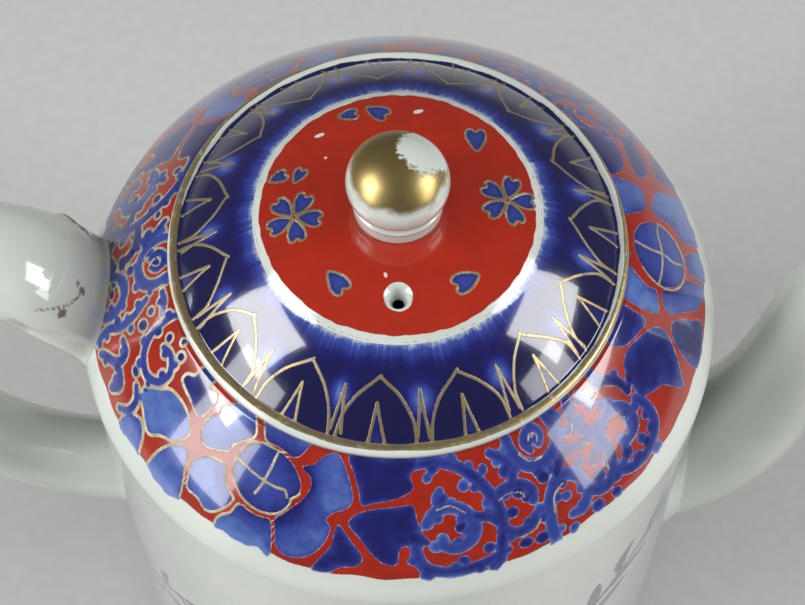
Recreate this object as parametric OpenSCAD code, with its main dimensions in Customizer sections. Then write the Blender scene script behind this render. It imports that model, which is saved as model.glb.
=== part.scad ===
// Cylindrical porcelain teapot with a sloping shoulder, a low domed lid with a ball knob,
// a curved spout and an ear-shaped loop handle.
// The frame stands on the table: the origin is the centre of the foot, +Z is up,
// the spout points to +X and the handle to -X.
// The pieces are the ones a potter throws or moulds and lutes together before glazing.

/* [Body] */
// Outside diameter of the wall where it meets the shoulder
body_d = 110; // [104:1:118]
// How much narrower the wall is at its bottom corner than at the shoulder
wall_taper = 1.4; // [0:0.2:4]
// Height of the wall, from the foot ring to the shoulder
wall_h = 100; // [92:0.5:110]
// Thickness of the wall
wall_t = 3.4; // [2.6:0.1:4]
// Thickness of the floor
floor_t = 4; // [3:0.25:5]
// Outside radius of the rounded corner between wall and floor
base_corner_r = 6; // [5.5:0.5:8]

/* [Foot ring] */
// Height of the foot ring
foot_h = 4; // [2:0.25:6]
// Outside diameter of the foot ring
foot_d = 92; // [80:1:94]
// Width of the foot ring's edge
foot_w = 4.5; // [3:0.25:6]

/* [Shoulder] */
// Rise of the shoulder, from the wall to the lid's seat
shoulder_h = 20; // [16:0.5:24]
// Slope of the shoulder beside the seat, in degrees below level
shoulder_slope = 38; // [32:1:42]
// Length over which the shoulder keeps that slope
shoulder_run = 9; // [7:0.25:11]
// Length over which the shoulder's edge turns down into the wall
shoulder_turn = 4; // [3:0.25:6]
// Thickness of the shoulder
shoulder_t = 3.2; // [2.4:0.1:3.8]
// Diameter of the mouth
mouth_d = 62; // [54:0.5:65]
// Width of the flat seat that shows outside the lid
seat_margin = 0.5; // [0.3:0.1:1]

/* [Lid] */
// Diameter of the lid
lid_d = 76.4; // [72:0.2:79]
// Height of the lid's edge
lid_edge_h = 2; // [1.6:0.1:2.6]
// Height of the small bead round the lid's edge, above the painted slope
lid_bead_h = 0.45; // [0.2:0.05:0.8]
// Width of that bead
lid_bead_w = 1.8; // [1.4:0.1:2.4]
// Rise of the lid's slope, from its edge to the foot of the central disc
lid_rise = 9; // [6:0.2:12]
// How far the slope bulges above a straight cone
lid_bulge = 0.9; // [0.3:0.1:1.6]
// Diameter of the raised central disc
disc_d = 45.6; // [40:0.2:50]
// Height of the step round the disc
step_h = 1; // [0.5:0.1:1.5]
// Rise of the disc's own crown
disc_crown = 2.4; // [0.4:0.1:3.5]
// Thickness of the lid
lid_t = 3.2; // [2.6:0.1:3.8]
// Depth of the flange that hangs into the mouth
flange_h = 8; // [5:0.5:12]
// Thickness of the flange
flange_t = 2.4; // [1.8:0.1:3]
// Clearance between the flange and the mouth
flange_gap = 0.6; // [0.4:0.1:1]
// Diameter of the vent hole
vent_d = 1.8; // [1.4:0.1:2.6]
// Diameter of the vent's funnel at the top
vent_mouth_d = 4.4; // [3.6:0.1:5]
// Distance of the vent from the lid's axis
vent_offset = 16.2; // [12:0.1:18]

/* [Knob] */
// Diameter of the ball
knob_d = 16.6; // [15:0.2:19]
// Height of the ball, above and below its widest line, as a share of a true sphere
knob_flat = 0.83; // [0.75:0.01:1]
// Diameter of the collar's upper edge
collar_d = 15; // [13:0.1:15.6]
// Diameter of the collar's foot
collar_base_d = 14; // [12:0.1:15]
// Height of the collar
collar_h = 3.5; // [2.5:0.1:4.5]
// Width of the collar's edge that shows round the ball
collar_lip = 0.6; // [0.3:0.1:1]

/* [Spout] */
// Height of the spout's root on the wall
spout_root_z = 41; // [38:0.5:46]
// Height of the spout's tip
spout_tip_z = 124; // [116:0.5:130]
// Reach of the spout's tip from the wall
spout_reach = 31; // [28:0.5:38]
// Outside diameter of the spout at its root
spout_root_d = 30; // [27:0.5:33]
// Outside diameter of the spout half way up
spout_mid_d = 17; // [15:0.5:20]
// Outside diameter of the spout at its tip
spout_tip_d = 13.6; // [12:0.2:16]
// Thickness of the spout's wall
spout_t = 2.6; // [2:0.1:3]
// Diameter of each strainer hole in the wall behind the spout
strainer_d = 4; // [2.5:0.1:5]
// Distance between neighbouring strainer holes
strainer_pitch = 6.4; // [5.6:0.1:7]

/* [Handle] */
// Distance of the handle's upper root in from the outside of the wall
ear_inset = 3; // [2:0.5:5]
// Height of the handle's upper root on the shoulder's edge
handle_top_z = 104; // [101:0.5:107]
// Height of the handle's lower root on the wall
handle_low_z = 35; // [31:0.5:44]
// Reach of the loop's centre line from the wall
handle_reach = 33.5; // [30:0.5:40]
// Width of the handle half way round
handle_w = 16.5; // [14:0.5:19]
// Thickness of the handle half way round
handle_t = 12; // [10:0.5:14]
// Width of the upper terminal where it spreads on the shoulder
ear_w = 29; // [26:0.5:31]
// Thickness of the upper terminal, in and out from the pot, where it rises off the shoulder
ear_h = 20; // [18:0.5:22]
// Width of the lower terminal
heel_w = 17; // [16:0.5:21]
// Height of the lower terminal
heel_h = 17; // [15:0.5:20]

/* [Hidden] */

round_fn = 180;      // sides of the round pieces
curve_n = 18;        // steps along each curved outline
ring_n = 28;         // sides of the spout's and the handle's sections
fit_gap = 0.02;      // clearance of a luted piece on the curved wall
eps = 0.01;

body_r = body_d / 2;
base_r = (body_d - wall_taper) / 2;
wall_top = foot_h + wall_h;
seat_z = wall_top + shoulder_h;
mouth_r = mouth_d / 2;
lid_r = lid_d / 2;
seat_r = lid_r + seat_margin;
rim_z = seat_z + lid_edge_h;
slope_top = rim_z + lid_rise;
disc_r = disc_d / 2;
disc_z = slope_top + step_h;
flange_r = mouth_r - flange_gap;
knob_base_z = disc_z + disc_crown;
disc_edge_r = disc_r - step_h / 2;
crown_flat_r = collar_base_d * 0.53;      // the crown is level where the knob's collar stands on it
// Height of the disc's crown at radius r outside that level part
function disc_top(r) =
    knob_base_z - disc_crown * pow((r - crown_flat_r) / (disc_edge_r - crown_flat_r), 2);

glaze_white = [0.86, 0.88, 0.84];
glaze_blue = [0.12, 0.17, 0.50];
enamel_red = [0.66, 0.15, 0.07];
gilt = [0.72, 0.58, 0.28];
biscuit = [0.84, 0.78, 0.70];

// ---------- curves ----------

function bezier(p, t) =
    pow(1 - t, 3) * p[0] + 3 * pow(1 - t, 2) * t * p[1] + 3 * (1 - t) * t * t * p[2] + pow(t, 3) * p[3];
function bezier_way(p, t) =
    3 * pow(1 - t, 2) * (p[1] - p[0]) + 6 * (1 - t) * t * (p[2] - p[1]) + 3 * t * t * (p[3] - p[2]);
function bezier_line(p, n) = [for (i = [0:n]) bezier(p, i / n)];
function unit(v) = v / norm(v);
// The normal to the left of a way in the plane
function left_of(v) = [-unit(v)[1], unit(v)[0]];
function arc(centre, r, from, to, n) =
    [for (i = [0:n]) centre + r * [cos(from + (to - from) * i / n), sin(from + (to - from) * i / n)]];
function backwards(list) = [for (i = [len(list) - 1:-1:0]) list[i]];

// ---------- the pot's outline ----------

// The shoulder's outer curve, from the edge of the seat down to the wall
shoulder_curve = [
    [seat_r, seat_z],
    [seat_r, seat_z] + shoulder_run * [cos(shoulder_slope), -sin(shoulder_slope)],
    [body_r, wall_top + shoulder_turn],
    [body_r, wall_top]
];
shoulder_outside = bezier_line(shoulder_curve, curve_n);
shoulder_inside = [
    for (i = [0:curve_n])
        let (t = i / curve_n, way = bezier_way(shoulder_curve, t), thick = shoulder_t + (wall_t - shoulder_t) * t)
        bezier(shoulder_curve, t) - thick * left_of(way)
];
// The base is a disc up to the floor's level; the wall stands on it and carries the rest of the corner
floor_z = foot_h + floor_t;
corner_centre = [base_r - base_corner_r, foot_h + base_corner_r];
corner_split = -asin(1 - floor_t / base_corner_r);
base_corner = arc(corner_centre, base_corner_r, -90, corner_split, curve_n / 2);
wall_corner = arc(corner_centre, base_corner_r, corner_split, 0, curve_n / 3);
inner_corner_r = base_corner_r - wall_t;
inner_corner = arc([base_r - base_corner_r, floor_z + inner_corner_r], inner_corner_r, 0, -90, curve_n / 3);

// Everything inside the pot's outer skin, grown by the luting clearance
module pot_envelope() {
    rotate_extrude($fn = round_fn)
        polygon(concat(
            [[0, foot_h - fit_gap]],
            [for (p = concat(base_corner, wall_corner)) p + [fit_gap, 0]],
            backwards([for (p = shoulder_outside) p + [fit_gap, fit_gap]]),
            [[0, seat_z + fit_gap]]
        ));
}

// ---------- lofts ----------

// Joins a list of rings, each with the same number of points, into a closed skin with flat ends
module loft(rings) {
    n = len(rings[0]);
    last = len(rings) - 1;
    points = [for (r = rings) each r];
    sides = [
        for (j = [0:last - 1], i = [0:n - 1])
            let (a = j * n + i, b = j * n + (i + 1) % n)
            each [[a, b, b + n], [a, b + n, a + n]]
    ];
    polyhedron(
        points,
        concat([[for (i = [n - 1:-1:0]) i]], sides, [[for (i = [0:n - 1]) last * n + i]]),
        convexity = 8
    );
}

// A tube: the outer rings one way and the inner rings back, closed at both ends by a flat lip
module tube(outer, inner) {
    rings = concat(outer, backwards(inner));
    n = len(outer[0]);
    m = len(rings);
    polyhedron(
        [for (r = rings) each r],
        [
            for (j = [0:m - 1], i = [0:n - 1])
                let (a = j * n + i, b = j * n + (i + 1) % n,
                     c = ((j + 1) % m) * n + (i + 1) % n, d = ((j + 1) % m) * n + i)
                each [[a, b, c], [a, c, d]]
        ],
        convexity = 8
    );
}

// An oval ring round a point of a path in the XZ plane: w across in Y, h along the path's normal
function section(at, way, w, h) = [
    for (i = [0:ring_n - 1])
        let (
            a = -360 * i / ring_n,
            u = w / 2 * sign(cos(a)) * pow(abs(cos(a)), 0.94),
            v = h / 2 * sign(sin(a)) * pow(abs(sin(a)), 0.94),
            out = left_of(way)
        )
        [at[0] + out[0] * v, u, at[1] + out[1] * v]
];

// ---------- spout ----------

spout_wall_r = base_r + (body_r - base_r) * (spout_root_z - foot_h) / wall_h;
spout_start_in = 2.4 * wall_t;           // the path starts this far inside the wall
spout_rise = spout_tip_z - spout_root_z;
spout_knee = [body_r + spout_reach * 0.65, spout_root_z + spout_rise * 0.74];
spout_tip = [body_r + spout_reach, spout_tip_z];
root_way = [cos(10), sin(10)];
knee_way = [cos(80), sin(80)];
tip_way = [cos(58), sin(58)];
spout_start = [spout_wall_r, spout_root_z] - spout_start_in * root_way;
// Out from the wall nearly level, then up the slim neck, and out again to the tip
spout_low = [
    spout_start,
    spout_start + spout_rise * 0.32 * root_way,
    spout_knee - spout_rise * 0.34 * knee_way,
    spout_knee
];
spout_high = [
    spout_knee,
    spout_knee + spout_rise * 0.1 * knee_way,
    spout_tip - spout_rise * 0.1 * tip_way,
    spout_tip
];
spout_steps = 14;
// Place, way and outside diameter at share s of the spout, from the root at 0 to the tip at 1
function spout_at(s) = s < 0.5 ? bezier(spout_low, s * 2) : bezier(spout_high, s * 2 - 1);
function spout_way(s) = s < 0.5 ? bezier_way(spout_low, s * 2) : bezier_way(spout_high, s * 2 - 1);
function spout_wide(s) = s < 0.5
    ? spout_mid_d + (spout_root_d - spout_mid_d) * pow(1 - s * 2, 1.6)
    : spout_mid_d + (spout_tip_d - spout_mid_d) * (1 - pow(2 - s * 2, 1.3));
function spout_ring(s, inset) =
    section(spout_at(s), spout_way(s), spout_wide(s) - 2 * inset, spout_wide(s) - 2 * inset);

module spout() {
    color(glaze_white)
        difference() {
            tube(
                [for (i = [0:2 * spout_steps]) spout_ring(i / spout_steps / 2, 0)],
                [for (i = [0:2 * spout_steps]) spout_ring(i / spout_steps / 2, spout_t)]
            );
            pot_envelope();
        }
}

// One hole in the middle and six round it, drilled level through the wall behind the spout
module strainer_holes() {
    places = concat([[0, 0]], [for (i = [0:5]) strainer_pitch * [cos(60 * i), sin(60 * i)]]);
    for (p = places)
        translate([spout_wall_r - 3 * wall_t, p[0], spout_root_z + p[1]])
            rotate([0, 90, 0])
                cylinder(d = strainer_d, h = 5 * wall_t, $fn = 32);
}

// ---------- handle ----------

low_wall_r = base_r + (body_r - base_r) * (handle_low_z - foot_h) / wall_h;
handle_in = 2.4 * wall_t;                // the path starts and ends this far inside the skin
top_way = [-cos(70), sin(70)];
low_way = [cos(6), -sin(6)];
handle_start = [-(body_r - ear_inset), handle_top_z] - handle_in * top_way;
handle_end = [-low_wall_r, handle_low_z] + handle_in * low_way;
handle_out = [-(body_r + handle_reach), handle_low_z + (handle_top_z - handle_low_z) * 0.91];
// Up off the shoulder and over to the widest point, then down and back level to the wall
handle_upper = [
    handle_start,
    handle_start + (handle_in + handle_reach * 0.81) * top_way,
    handle_out + [0, handle_reach * 1.15],
    handle_out
];
handle_lower = [
    handle_out,
    handle_out - [0, handle_reach * 1.1],
    handle_end - (handle_in + handle_reach * 0.9) * low_way,
    handle_end
];
upper_steps = 26;
lower_steps = 26;
upper_cut = 9;                           // the terminals end at these steps, and the strap runs between them
lower_cut = 19;
function handle_at(i) = i <= upper_steps
    ? bezier(handle_upper, i / upper_steps)
    : bezier(handle_lower, (i - upper_steps) / lower_steps);
function handle_way(i) = i <= upper_steps
    ? bezier_way(handle_upper, i / upper_steps)
    : bezier_way(handle_lower, (i - upper_steps) / lower_steps);
// How much of the ear's and the heel's spread is left at step i
function ear(i) = exp(-pow(i / 7, 1.6));
function heel(i) = exp(-pow((upper_steps + lower_steps - i) / 4.5, 1.6));
function strap_widening(i) = 0.13 * max(0, 1 - i / upper_steps);
// The ear is a bulb: it draws in again where it goes into the shoulder
function root_pinch(i) = exp(-pow(i / 2.2, 2));
function handle_wide(i) = let (w = handle_w * (1 + strap_widening(i)))
    (w + (ear_w - w) * ear(i) + (heel_w - w) * heel(i)) * (1 - 0.18 * root_pinch(i));
function handle_thick(i) = let (t = handle_t * (1 + strap_widening(i)))
    (t + (ear_h - t) * ear(i) + (heel_h - t) * heel(i)) * (1 - 0.45 * root_pinch(i));
function handle_ring(i) = section(handle_at(i), -handle_way(i), handle_wide(i), handle_thick(i));
function handle_rings(from, to) = [for (i = [from:to]) handle_ring(i)];

module upper_terminal() {
    color(glaze_white)
        difference() {
            loft(handle_rings(0, upper_cut));
            pot_envelope();
        }
}

module handle() {
    color(glaze_white)
        loft(handle_rings(upper_cut, upper_steps + lower_cut));
}

module lower_terminal() {
    color(glaze_white)
        difference() {
            loft(handle_rings(upper_steps + lower_cut, upper_steps + lower_steps));
            pot_envelope();
        }
}

// ---------- pot ----------

module body_wall() {
    color(glaze_white)
        difference() {
            rotate_extrude($fn = round_fn)
                polygon(concat(
                    wall_corner,
                    [[body_r, wall_top], [body_r - wall_t, wall_top]],
                    inner_corner
                ));
            strainer_holes();
        }
}

module base() {
    color(glaze_white)
        rotate_extrude($fn = round_fn)
            polygon(concat([[0, foot_h]], base_corner, [[0, floor_z]]));
}

module foot_ring() {
    foot_r = foot_d / 2;
    round = foot_w * 0.25;
    color(biscuit)
        rotate_extrude($fn = round_fn)
            polygon([
                [foot_r - foot_w + round, 0],
                [foot_r - round, 0],
                [foot_r, round],
                [foot_r + round / 2, foot_h],
                [foot_r - foot_w - round, foot_h],
                [foot_r - foot_w, round]
            ]);
}

module shoulder() {
    seat_under = seat_z - shoulder_t;
    // the inner curve starts under the seat, where it is already below the seat's own thickness
    inner = [for (p = shoulder_inside) if (p[1] < seat_under && p[0] > mouth_r + 1) p];
    color(glaze_blue)
        rotate_extrude($fn = round_fn)
            polygon(concat(
                [[mouth_r, seat_z]],
                shoulder_outside,
                [[body_r - wall_t, wall_top]],
                backwards([for (p = inner) if (p[1] > wall_top + eps) p]),
                [[mouth_r + 0.6, seat_under], [mouth_r, seat_under + 0.6]]
            ));
}

// ---------- lid ----------

bead_in = lid_r - lid_bead_w;            // foot of the bead, where the painted slope starts
slope_z0 = rim_z - lid_bead_h;
// Height of the slope at radius r: a cone with a bulge that fades at both ends
function slope_z(r) = let (s = (bead_in - r) / (bead_in - disc_r - step_h))
    slope_z0 + (slope_top - slope_z0) * s + lid_bulge * 4 * s * (1 - s);
slope_line = [
    for (i = [0:curve_n])
        let (r = bead_in - (bead_in - disc_r - step_h) * i / curve_n)
        [r, slope_z(r)]
];
bead_r = lid_bead_w / 2;
lid_outline = concat(
    [[lid_r - 0.5, seat_z], [lid_r, seat_z + 0.5]],
    arc([lid_r - bead_r, rim_z - bead_r], bead_r, 0, 90, 6),
    [[bead_in + bead_r * 0.35, rim_z - lid_bead_h * 0.4]],
    slope_line,
    // the step's face leans in, and its top edge is rounded
    arc([disc_r - step_h * 0.5, disc_z - step_h * 0.5], step_h * 0.5, 0, 90, 4),
    [for (i = [1:curve_n / 2]) let (r = disc_edge_r + (crown_flat_r - disc_edge_r) * i / (curve_n / 2)) [r, disc_top(r)]],
    [[0, knob_base_z]]
);
// Underside: the hollow follows the crown and the slope at the lid's thickness
hollow_r = flange_r - flange_t;
slope_fall = lid_t * 1.25;               // the slope's thickness, measured upright
hollow_line = concat(
    [[0, knob_base_z - lid_t]],
    [for (i = [0:curve_n / 2])
        let (r = crown_flat_r + (disc_edge_r - lid_t / 2 - crown_flat_r) * i / (curve_n / 2))
        [r, disc_top(r) - lid_t]],
    [for (i = [0:curve_n / 3])
        let (r = disc_r + step_h + (hollow_r - disc_r - step_h) * i / (curve_n / 3))
        [r, slope_z(r) - slope_fall]],
    [[hollow_r, seat_z]]
);

// The vent is a straight hole whose upper part opens into a funnel
module vent() {
    vent_top = disc_top(vent_offset);
    funnel_h = lid_t * 0.8;
    above = 1;
    widening = (vent_mouth_d - vent_d) / funnel_h;
    translate([0, -vent_offset, 0]) {
        translate([0, 0, seat_z])
            cylinder(d = vent_d, h = disc_z - seat_z, $fn = 48);
        translate([0, 0, vent_top - funnel_h])
            cylinder(d1 = vent_d, d2 = vent_d + widening * (funnel_h + above), h = funnel_h + above, $fn = 48);
    }
}

module lid() {
    color(enamel_red)
        difference() {
            rotate_extrude($fn = round_fn)
                polygon(concat(lid_outline, hollow_line));
            vent();
        }
}

module lid_flange() {
    lip = flange_t * 0.3;
    color(glaze_white)
        rotate_extrude($fn = round_fn)
            polygon([
                [hollow_r, seat_z],
                [hollow_r, seat_z - flange_h + lip],
                [hollow_r + lip, seat_z - flange_h],
                [flange_r - lip, seat_z - flange_h],
                [flange_r, seat_z - flange_h + lip],
                [flange_r, seat_z]
            ]);
}

module knob_collar() {
    foot_r = collar_base_d / 2;
    flare = (collar_d - collar_base_d) / 2;
    round = collar_h * 0.12;
    color(glaze_white)
        translate([0, 0, knob_base_z])
            rotate_extrude($fn = round_fn)
                polygon(concat(
                    [[0, 0], [foot_r, 0], [foot_r + flare * 0.3, collar_h * 0.35]],
                    arc([foot_r + flare - round, collar_h - round], round, 0, 90, 5),
                    [[0, collar_h]]
                ));
}

// A slightly flattened ball, cut level where it sits on the collar
knob_seat_r = collar_d / 2 - collar_lip;
knob_half = knob_d / 2 * knob_flat;
knob_cut = -asin(sqrt(1 - pow(knob_seat_r / (knob_d / 2), 2)));
knob_z = knob_base_z + collar_h - knob_half * sin(knob_cut);

module knob() {
    color(gilt)
        rotate_extrude($fn = round_fn)
            polygon(concat(
                [for (i = [0:2 * curve_n])
                    let (a = knob_cut + (90 - knob_cut) * i / (2 * curve_n))
                    [knob_d / 2 * cos(a), knob_z + knob_half * sin(a)]],
                [[0, knob_base_z + collar_h]]
            ));
}

body_wall();
base();
foot_ring();
shoulder();
spout();
handle();
upper_terminal();
lower_terminal();
lid();
lid_flange();
knob_collar();
knob();
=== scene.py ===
"""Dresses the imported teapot: glazed porcelain painted in cobalt, iron red and gold.

Sizes are in millimetres until a mesh is made. Angles are in degrees round the pot's axis: 0 is the
spout, 180 the handle and -90 the front, where the lid's vent is. The painting is laid out on the
unrolled surfaces, as (angle, distance along the outline), and kept on each mesh as depths in
millimetres: above 0 inside a painted shape, below 0 outside it.
"""

import math

import bpy
import numpy as np
from mathutils import Matrix, Vector


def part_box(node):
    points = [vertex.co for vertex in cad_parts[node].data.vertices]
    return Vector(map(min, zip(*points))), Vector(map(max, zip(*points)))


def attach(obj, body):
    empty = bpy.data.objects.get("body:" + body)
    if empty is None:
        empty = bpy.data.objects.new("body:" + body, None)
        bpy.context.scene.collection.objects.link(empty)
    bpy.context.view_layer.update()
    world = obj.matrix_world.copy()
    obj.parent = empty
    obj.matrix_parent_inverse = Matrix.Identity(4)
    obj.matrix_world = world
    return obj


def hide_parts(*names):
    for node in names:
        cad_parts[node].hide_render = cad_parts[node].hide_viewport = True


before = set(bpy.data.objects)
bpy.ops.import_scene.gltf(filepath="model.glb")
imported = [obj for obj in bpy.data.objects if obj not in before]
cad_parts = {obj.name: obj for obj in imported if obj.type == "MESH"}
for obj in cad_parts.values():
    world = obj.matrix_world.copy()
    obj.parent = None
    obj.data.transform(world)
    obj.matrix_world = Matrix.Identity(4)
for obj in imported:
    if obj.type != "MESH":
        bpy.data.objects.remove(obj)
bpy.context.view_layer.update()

MM = 0.001
FAR = -99.0  # depth of a point that lies far outside every shape


def node_box(name):
    lo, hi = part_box(name)
    return [v / MM for v in lo], [v / MM for v in hi]


# ---------- sizes, from the frame ----------

_, shoulder_hi = node_box("shoulder")
_, wall_hi = node_box("body_wall")
_, lid_hi = node_box("lid")
_, flange_hi = node_box("lid_flange")
knob_lo, knob_hi = node_box("knob")
collar_lo, collar_hi = node_box("knob_collar")

BODY_R = shoulder_hi[1]
WALL_TOP = wall_hi[2]
SEAT_Z = shoulder_hi[2]
LID_R = lid_hi[1]
KNOB_BASE_Z = lid_hi[2]
KNOB_R = knob_hi[1]
COLLAR_R = collar_hi[1]
FLANGE_R = flange_hi[1]

# Sizes that the boxes don't give, as in the CAD
SEAT_R = LID_R + 0.5
RIM_Z = SEAT_Z + 2.0
BASE_R = BODY_R - 0.7
FOOT_H = 4.0
WALL_T = 3.4
SHOULDER_T = 3.2
FLOOR_T = 4.0
MOUTH_R = FLANGE_R + 0.6
BEAD_W, BEAD_H = 1.8, 0.45
DISC_R = 22.8
STEP_H = 1.0  # from the lid's slope up to its disc
DISC_CROWN = 2.4  # from the disc's edge up to its middle
LID_T = 3.2
LID_BULGE = 0.9
VENT_Y = -16.2
VENT_R = 0.9
VENT_MOUTH_R = 2.2


# ---------- curves ----------


def bezier(points, t):
    p, t = np.array(points, float), np.asarray(t, float)[..., None]
    return (1 - t) ** 3 * p[0] + 3 * (1 - t) ** 2 * t * p[1] + 3 * (1 - t) * t * t * p[2] + t**3 * p[3]


def bezier_way(points, t):
    p, t = np.array(points, float), np.asarray(t, float)[..., None]
    d = 3 * (1 - t) ** 2 * (p[1] - p[0]) + 6 * (1 - t) * t * (p[2] - p[1]) + 3 * t * t * (p[3] - p[2])
    return d / np.linalg.norm(d, axis=-1, keepdims=True)


def direction(angle):
    return np.array([math.cos(math.radians(angle)), math.sin(math.radians(angle))])


def arc(centre, r, start, end, n):
    a = np.radians(np.linspace(start, end, n))
    return np.array(centre) + r * np.stack([np.cos(a), np.sin(a)], 1)


def full_turn(n):
    return np.linspace(0, 2 * math.pi, n, endpoint=False)


def turned(x, y, centre, turn):
    """Points turned by an angle and moved to a centre."""
    c, s = direction(turn)
    return np.stack([centre[0] + c * x - s * y, centre[1] + s * x + c * y], 1)


def hump(distance, width, power=2):
    """1 at distance 0, falling smoothly to nearly 0 at about twice the width."""
    return np.exp(-((distance / width) ** power))


def lengths(line):
    """Distance along a line, at each of its points."""
    return np.concatenate([[0], np.cumsum(np.linalg.norm(np.diff(line, axis=0), axis=1))])


def resample(line, step):
    """The line again, with its points about a step apart."""
    line = np.asarray(line, float)
    s = lengths(line)
    t = np.linspace(0, s[-1], max(2, int(round(s[-1] / step)) + 1))
    return np.stack([np.interp(t, s, line[:, k]) for k in range(line.shape[1])], 1)


def smooth(points, per_leg=8, closed=False):
    """A Catmull-Rom curve through the points."""
    p = np.array(points, float)
    if closed:
        p = np.vstack([p[-1], p, p[0], p[1]])
    else:
        p = np.vstack([2 * p[0] - p[1], p, 2 * p[-1] - p[-2]])
    t = np.linspace(0, 1, per_leg, endpoint=False)[:, None]
    legs = []
    for a, b, c, d in zip(p, p[1:], p[2:], p[3:]):
        square, cube = 2 * a - 5 * b + 4 * c - d, 3 * b - a - 3 * c + d
        legs.append(0.5 * (2 * b + (c - a) * t + square * t**2 + cube * t**3))
    return np.vstack(legs if closed else legs + [p[-2:-1]])


# ---------- meshes ----------


def mesh_object(name, verts, faces, body, replaces=()):
    mesh = bpy.data.meshes.new(name)
    mesh.from_pydata((np.asarray(verts) * MM).tolist(), [], faces)
    mesh.polygons.foreach_set("use_smooth", np.ones(len(mesh.polygons), bool))
    mesh.update()
    obj = bpy.data.objects.new(name, mesh)
    bpy.context.scene.collection.objects.link(obj)
    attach(obj, body)
    if replaces:
        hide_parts(*replaces)
    return obj


def ring_faces(rows, columns, wrap_rows=False):
    """Quads between rows of points, each row closed round its ring."""
    j = np.arange(columns)
    quads = []
    for i in range(rows if wrap_rows else rows - 1):
        a, b = i * columns, ((i + 1) % rows) * columns
        quads.append(np.stack([a + j, a + (j + 1) % columns, b + (j + 1) % columns, b + j], 1))
    return np.vstack(quads).tolist()


def turned_faces(first, on_axis, columns):
    """Faces between rings that start at the points first; a ring on the axis is one point."""
    j = np.arange(columns)
    k = (j + 1) % columns
    faces = []
    for i, (a, b) in enumerate(zip(first, first[1:])):
        if on_axis[i] and on_axis[i + 1]:
            continue
        if on_axis[i]:
            corners = [np.full(columns, a), b + k, b + j]
        elif on_axis[i + 1]:
            corners = [a + j, a + k, np.full(columns, b)]
        else:
            corners = [a + j, a + k, b + k, b + j]
        faces += np.stack(corners, 1).tolist()
    return faces


def revolve(name, outline, columns, body, replaces=()):
    """Turns an outline of (radius, height) round the axis; an end on the axis becomes one point.

    The outline runs so that its outside is on its right. Returns the object with the angle and the
    distance along the outline of each point.
    """
    r, z = outline[:, 0], outline[:, 1]
    angle = np.linspace(-270, 90, columns, endpoint=False)
    ca, sa = np.cos(np.radians(angle)), np.sin(np.radians(angle))
    s = lengths(outline)
    on_axis = r < 1e-6
    verts, angles, along, first = [], [], [], []
    count = 0
    for i in range(len(r)):
        first.append(count)
        n = 1 if on_axis[i] else columns
        verts.append(np.stack([r[i] * ca[:n], r[i] * sa[:n], np.full(n, z[i])], 1))
        angles.append(angle[:n])
        along.append(np.full(n, s[i]))
        count += n
    if np.allclose(outline[0], outline[-1]):  # closed: the last ring is the first again
        for part in (verts, angles, along):
            part.pop()
        first[-1] = 0
    faces = turned_faces(first, on_axis, columns)
    obj = mesh_object(name, np.vstack(verts), faces, body, replaces)
    return obj, np.concatenate(angles), np.concatenate(along)


def store(obj, **layers):
    """Keeps each layer on the mesh's points, where the materials read it."""
    for name, values in layers.items():
        data = obj.data.attributes.new(name, "FLOAT", "POINT").data
        data.foreach_set("value", values.astype(np.float32))


def cut(obj, cutter):
    """Takes the cutter's shape out of obj."""
    modifier = obj.modifiers.new("cut", "BOOLEAN")
    modifier.operation, modifier.solver, modifier.object = "DIFFERENCE", "EXACT", cutter
    evaluated = obj.evaluated_get(bpy.context.evaluated_depsgraph_get())
    mesh = bpy.data.meshes.new_from_object(evaluated)
    obj.modifiers.clear()
    obj.data = mesh
    bpy.data.objects.remove(cutter)


# ---------- painting ----------


def stroke_depth(u, v, line, half_widths):
    """Depth inside a brush stroke along a line, with a half width at each of its points."""
    line = np.asarray(line, float)
    w = np.broadcast_to(np.asarray(half_widths, float), (len(line),))
    reach = w.max() + 1.5
    near = (
        (u > line[:, 0].min() - reach) & (u < line[:, 0].max() + reach)
        & (v > line[:, 1].min() - reach) & (v < line[:, 1].max() + reach)
    )
    depth = np.full(u.shape, FAR)
    pu, pv = u[near], v[near]
    best = np.full(pu.shape, FAR)
    for (ax, ay), (bx, by), wa, wb in zip(line, line[1:], w, w[1:]):
        dx, dy = bx - ax, by - ay
        t = np.clip(((pu - ax) * dx + (pv - ay) * dy) / max(dx * dx + dy * dy, 1e-9), 0, 1)
        best = np.maximum(best, wa + (wb - wa) * t - np.hypot(pu - ax - t * dx, pv - ay - t * dy))
    depth[near] = best
    return depth


def shape_depth(u, v, outline):
    """Depth inside a closed outline."""
    outline = np.asarray(outline, float)
    edge = stroke_depth(u, v, np.vstack([outline, outline[:1]]), 0.0)
    inside = np.zeros(u.shape, bool)
    for (ax, ay), (bx, by) in zip(outline, np.roll(outline, -1, axis=0)):
        if ay != by:
            inside ^= ((ay > v) != (by > v)) & (u < ax + (v - ay) * (bx - ax) / (by - ay))
    return np.where(inside, -edge, edge)


def ripple(angle, waves, seed):
    """An even, wandering line round the pot, about 1 high, from a few waves of random phase."""
    rng = np.random.default_rng(seed)
    height = math.sqrt(1 / len(waves))
    return sum(
        height * np.cos(np.radians(angle * k) + rng.uniform(0, 2 * math.pi)) for k in waves
    )


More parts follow.
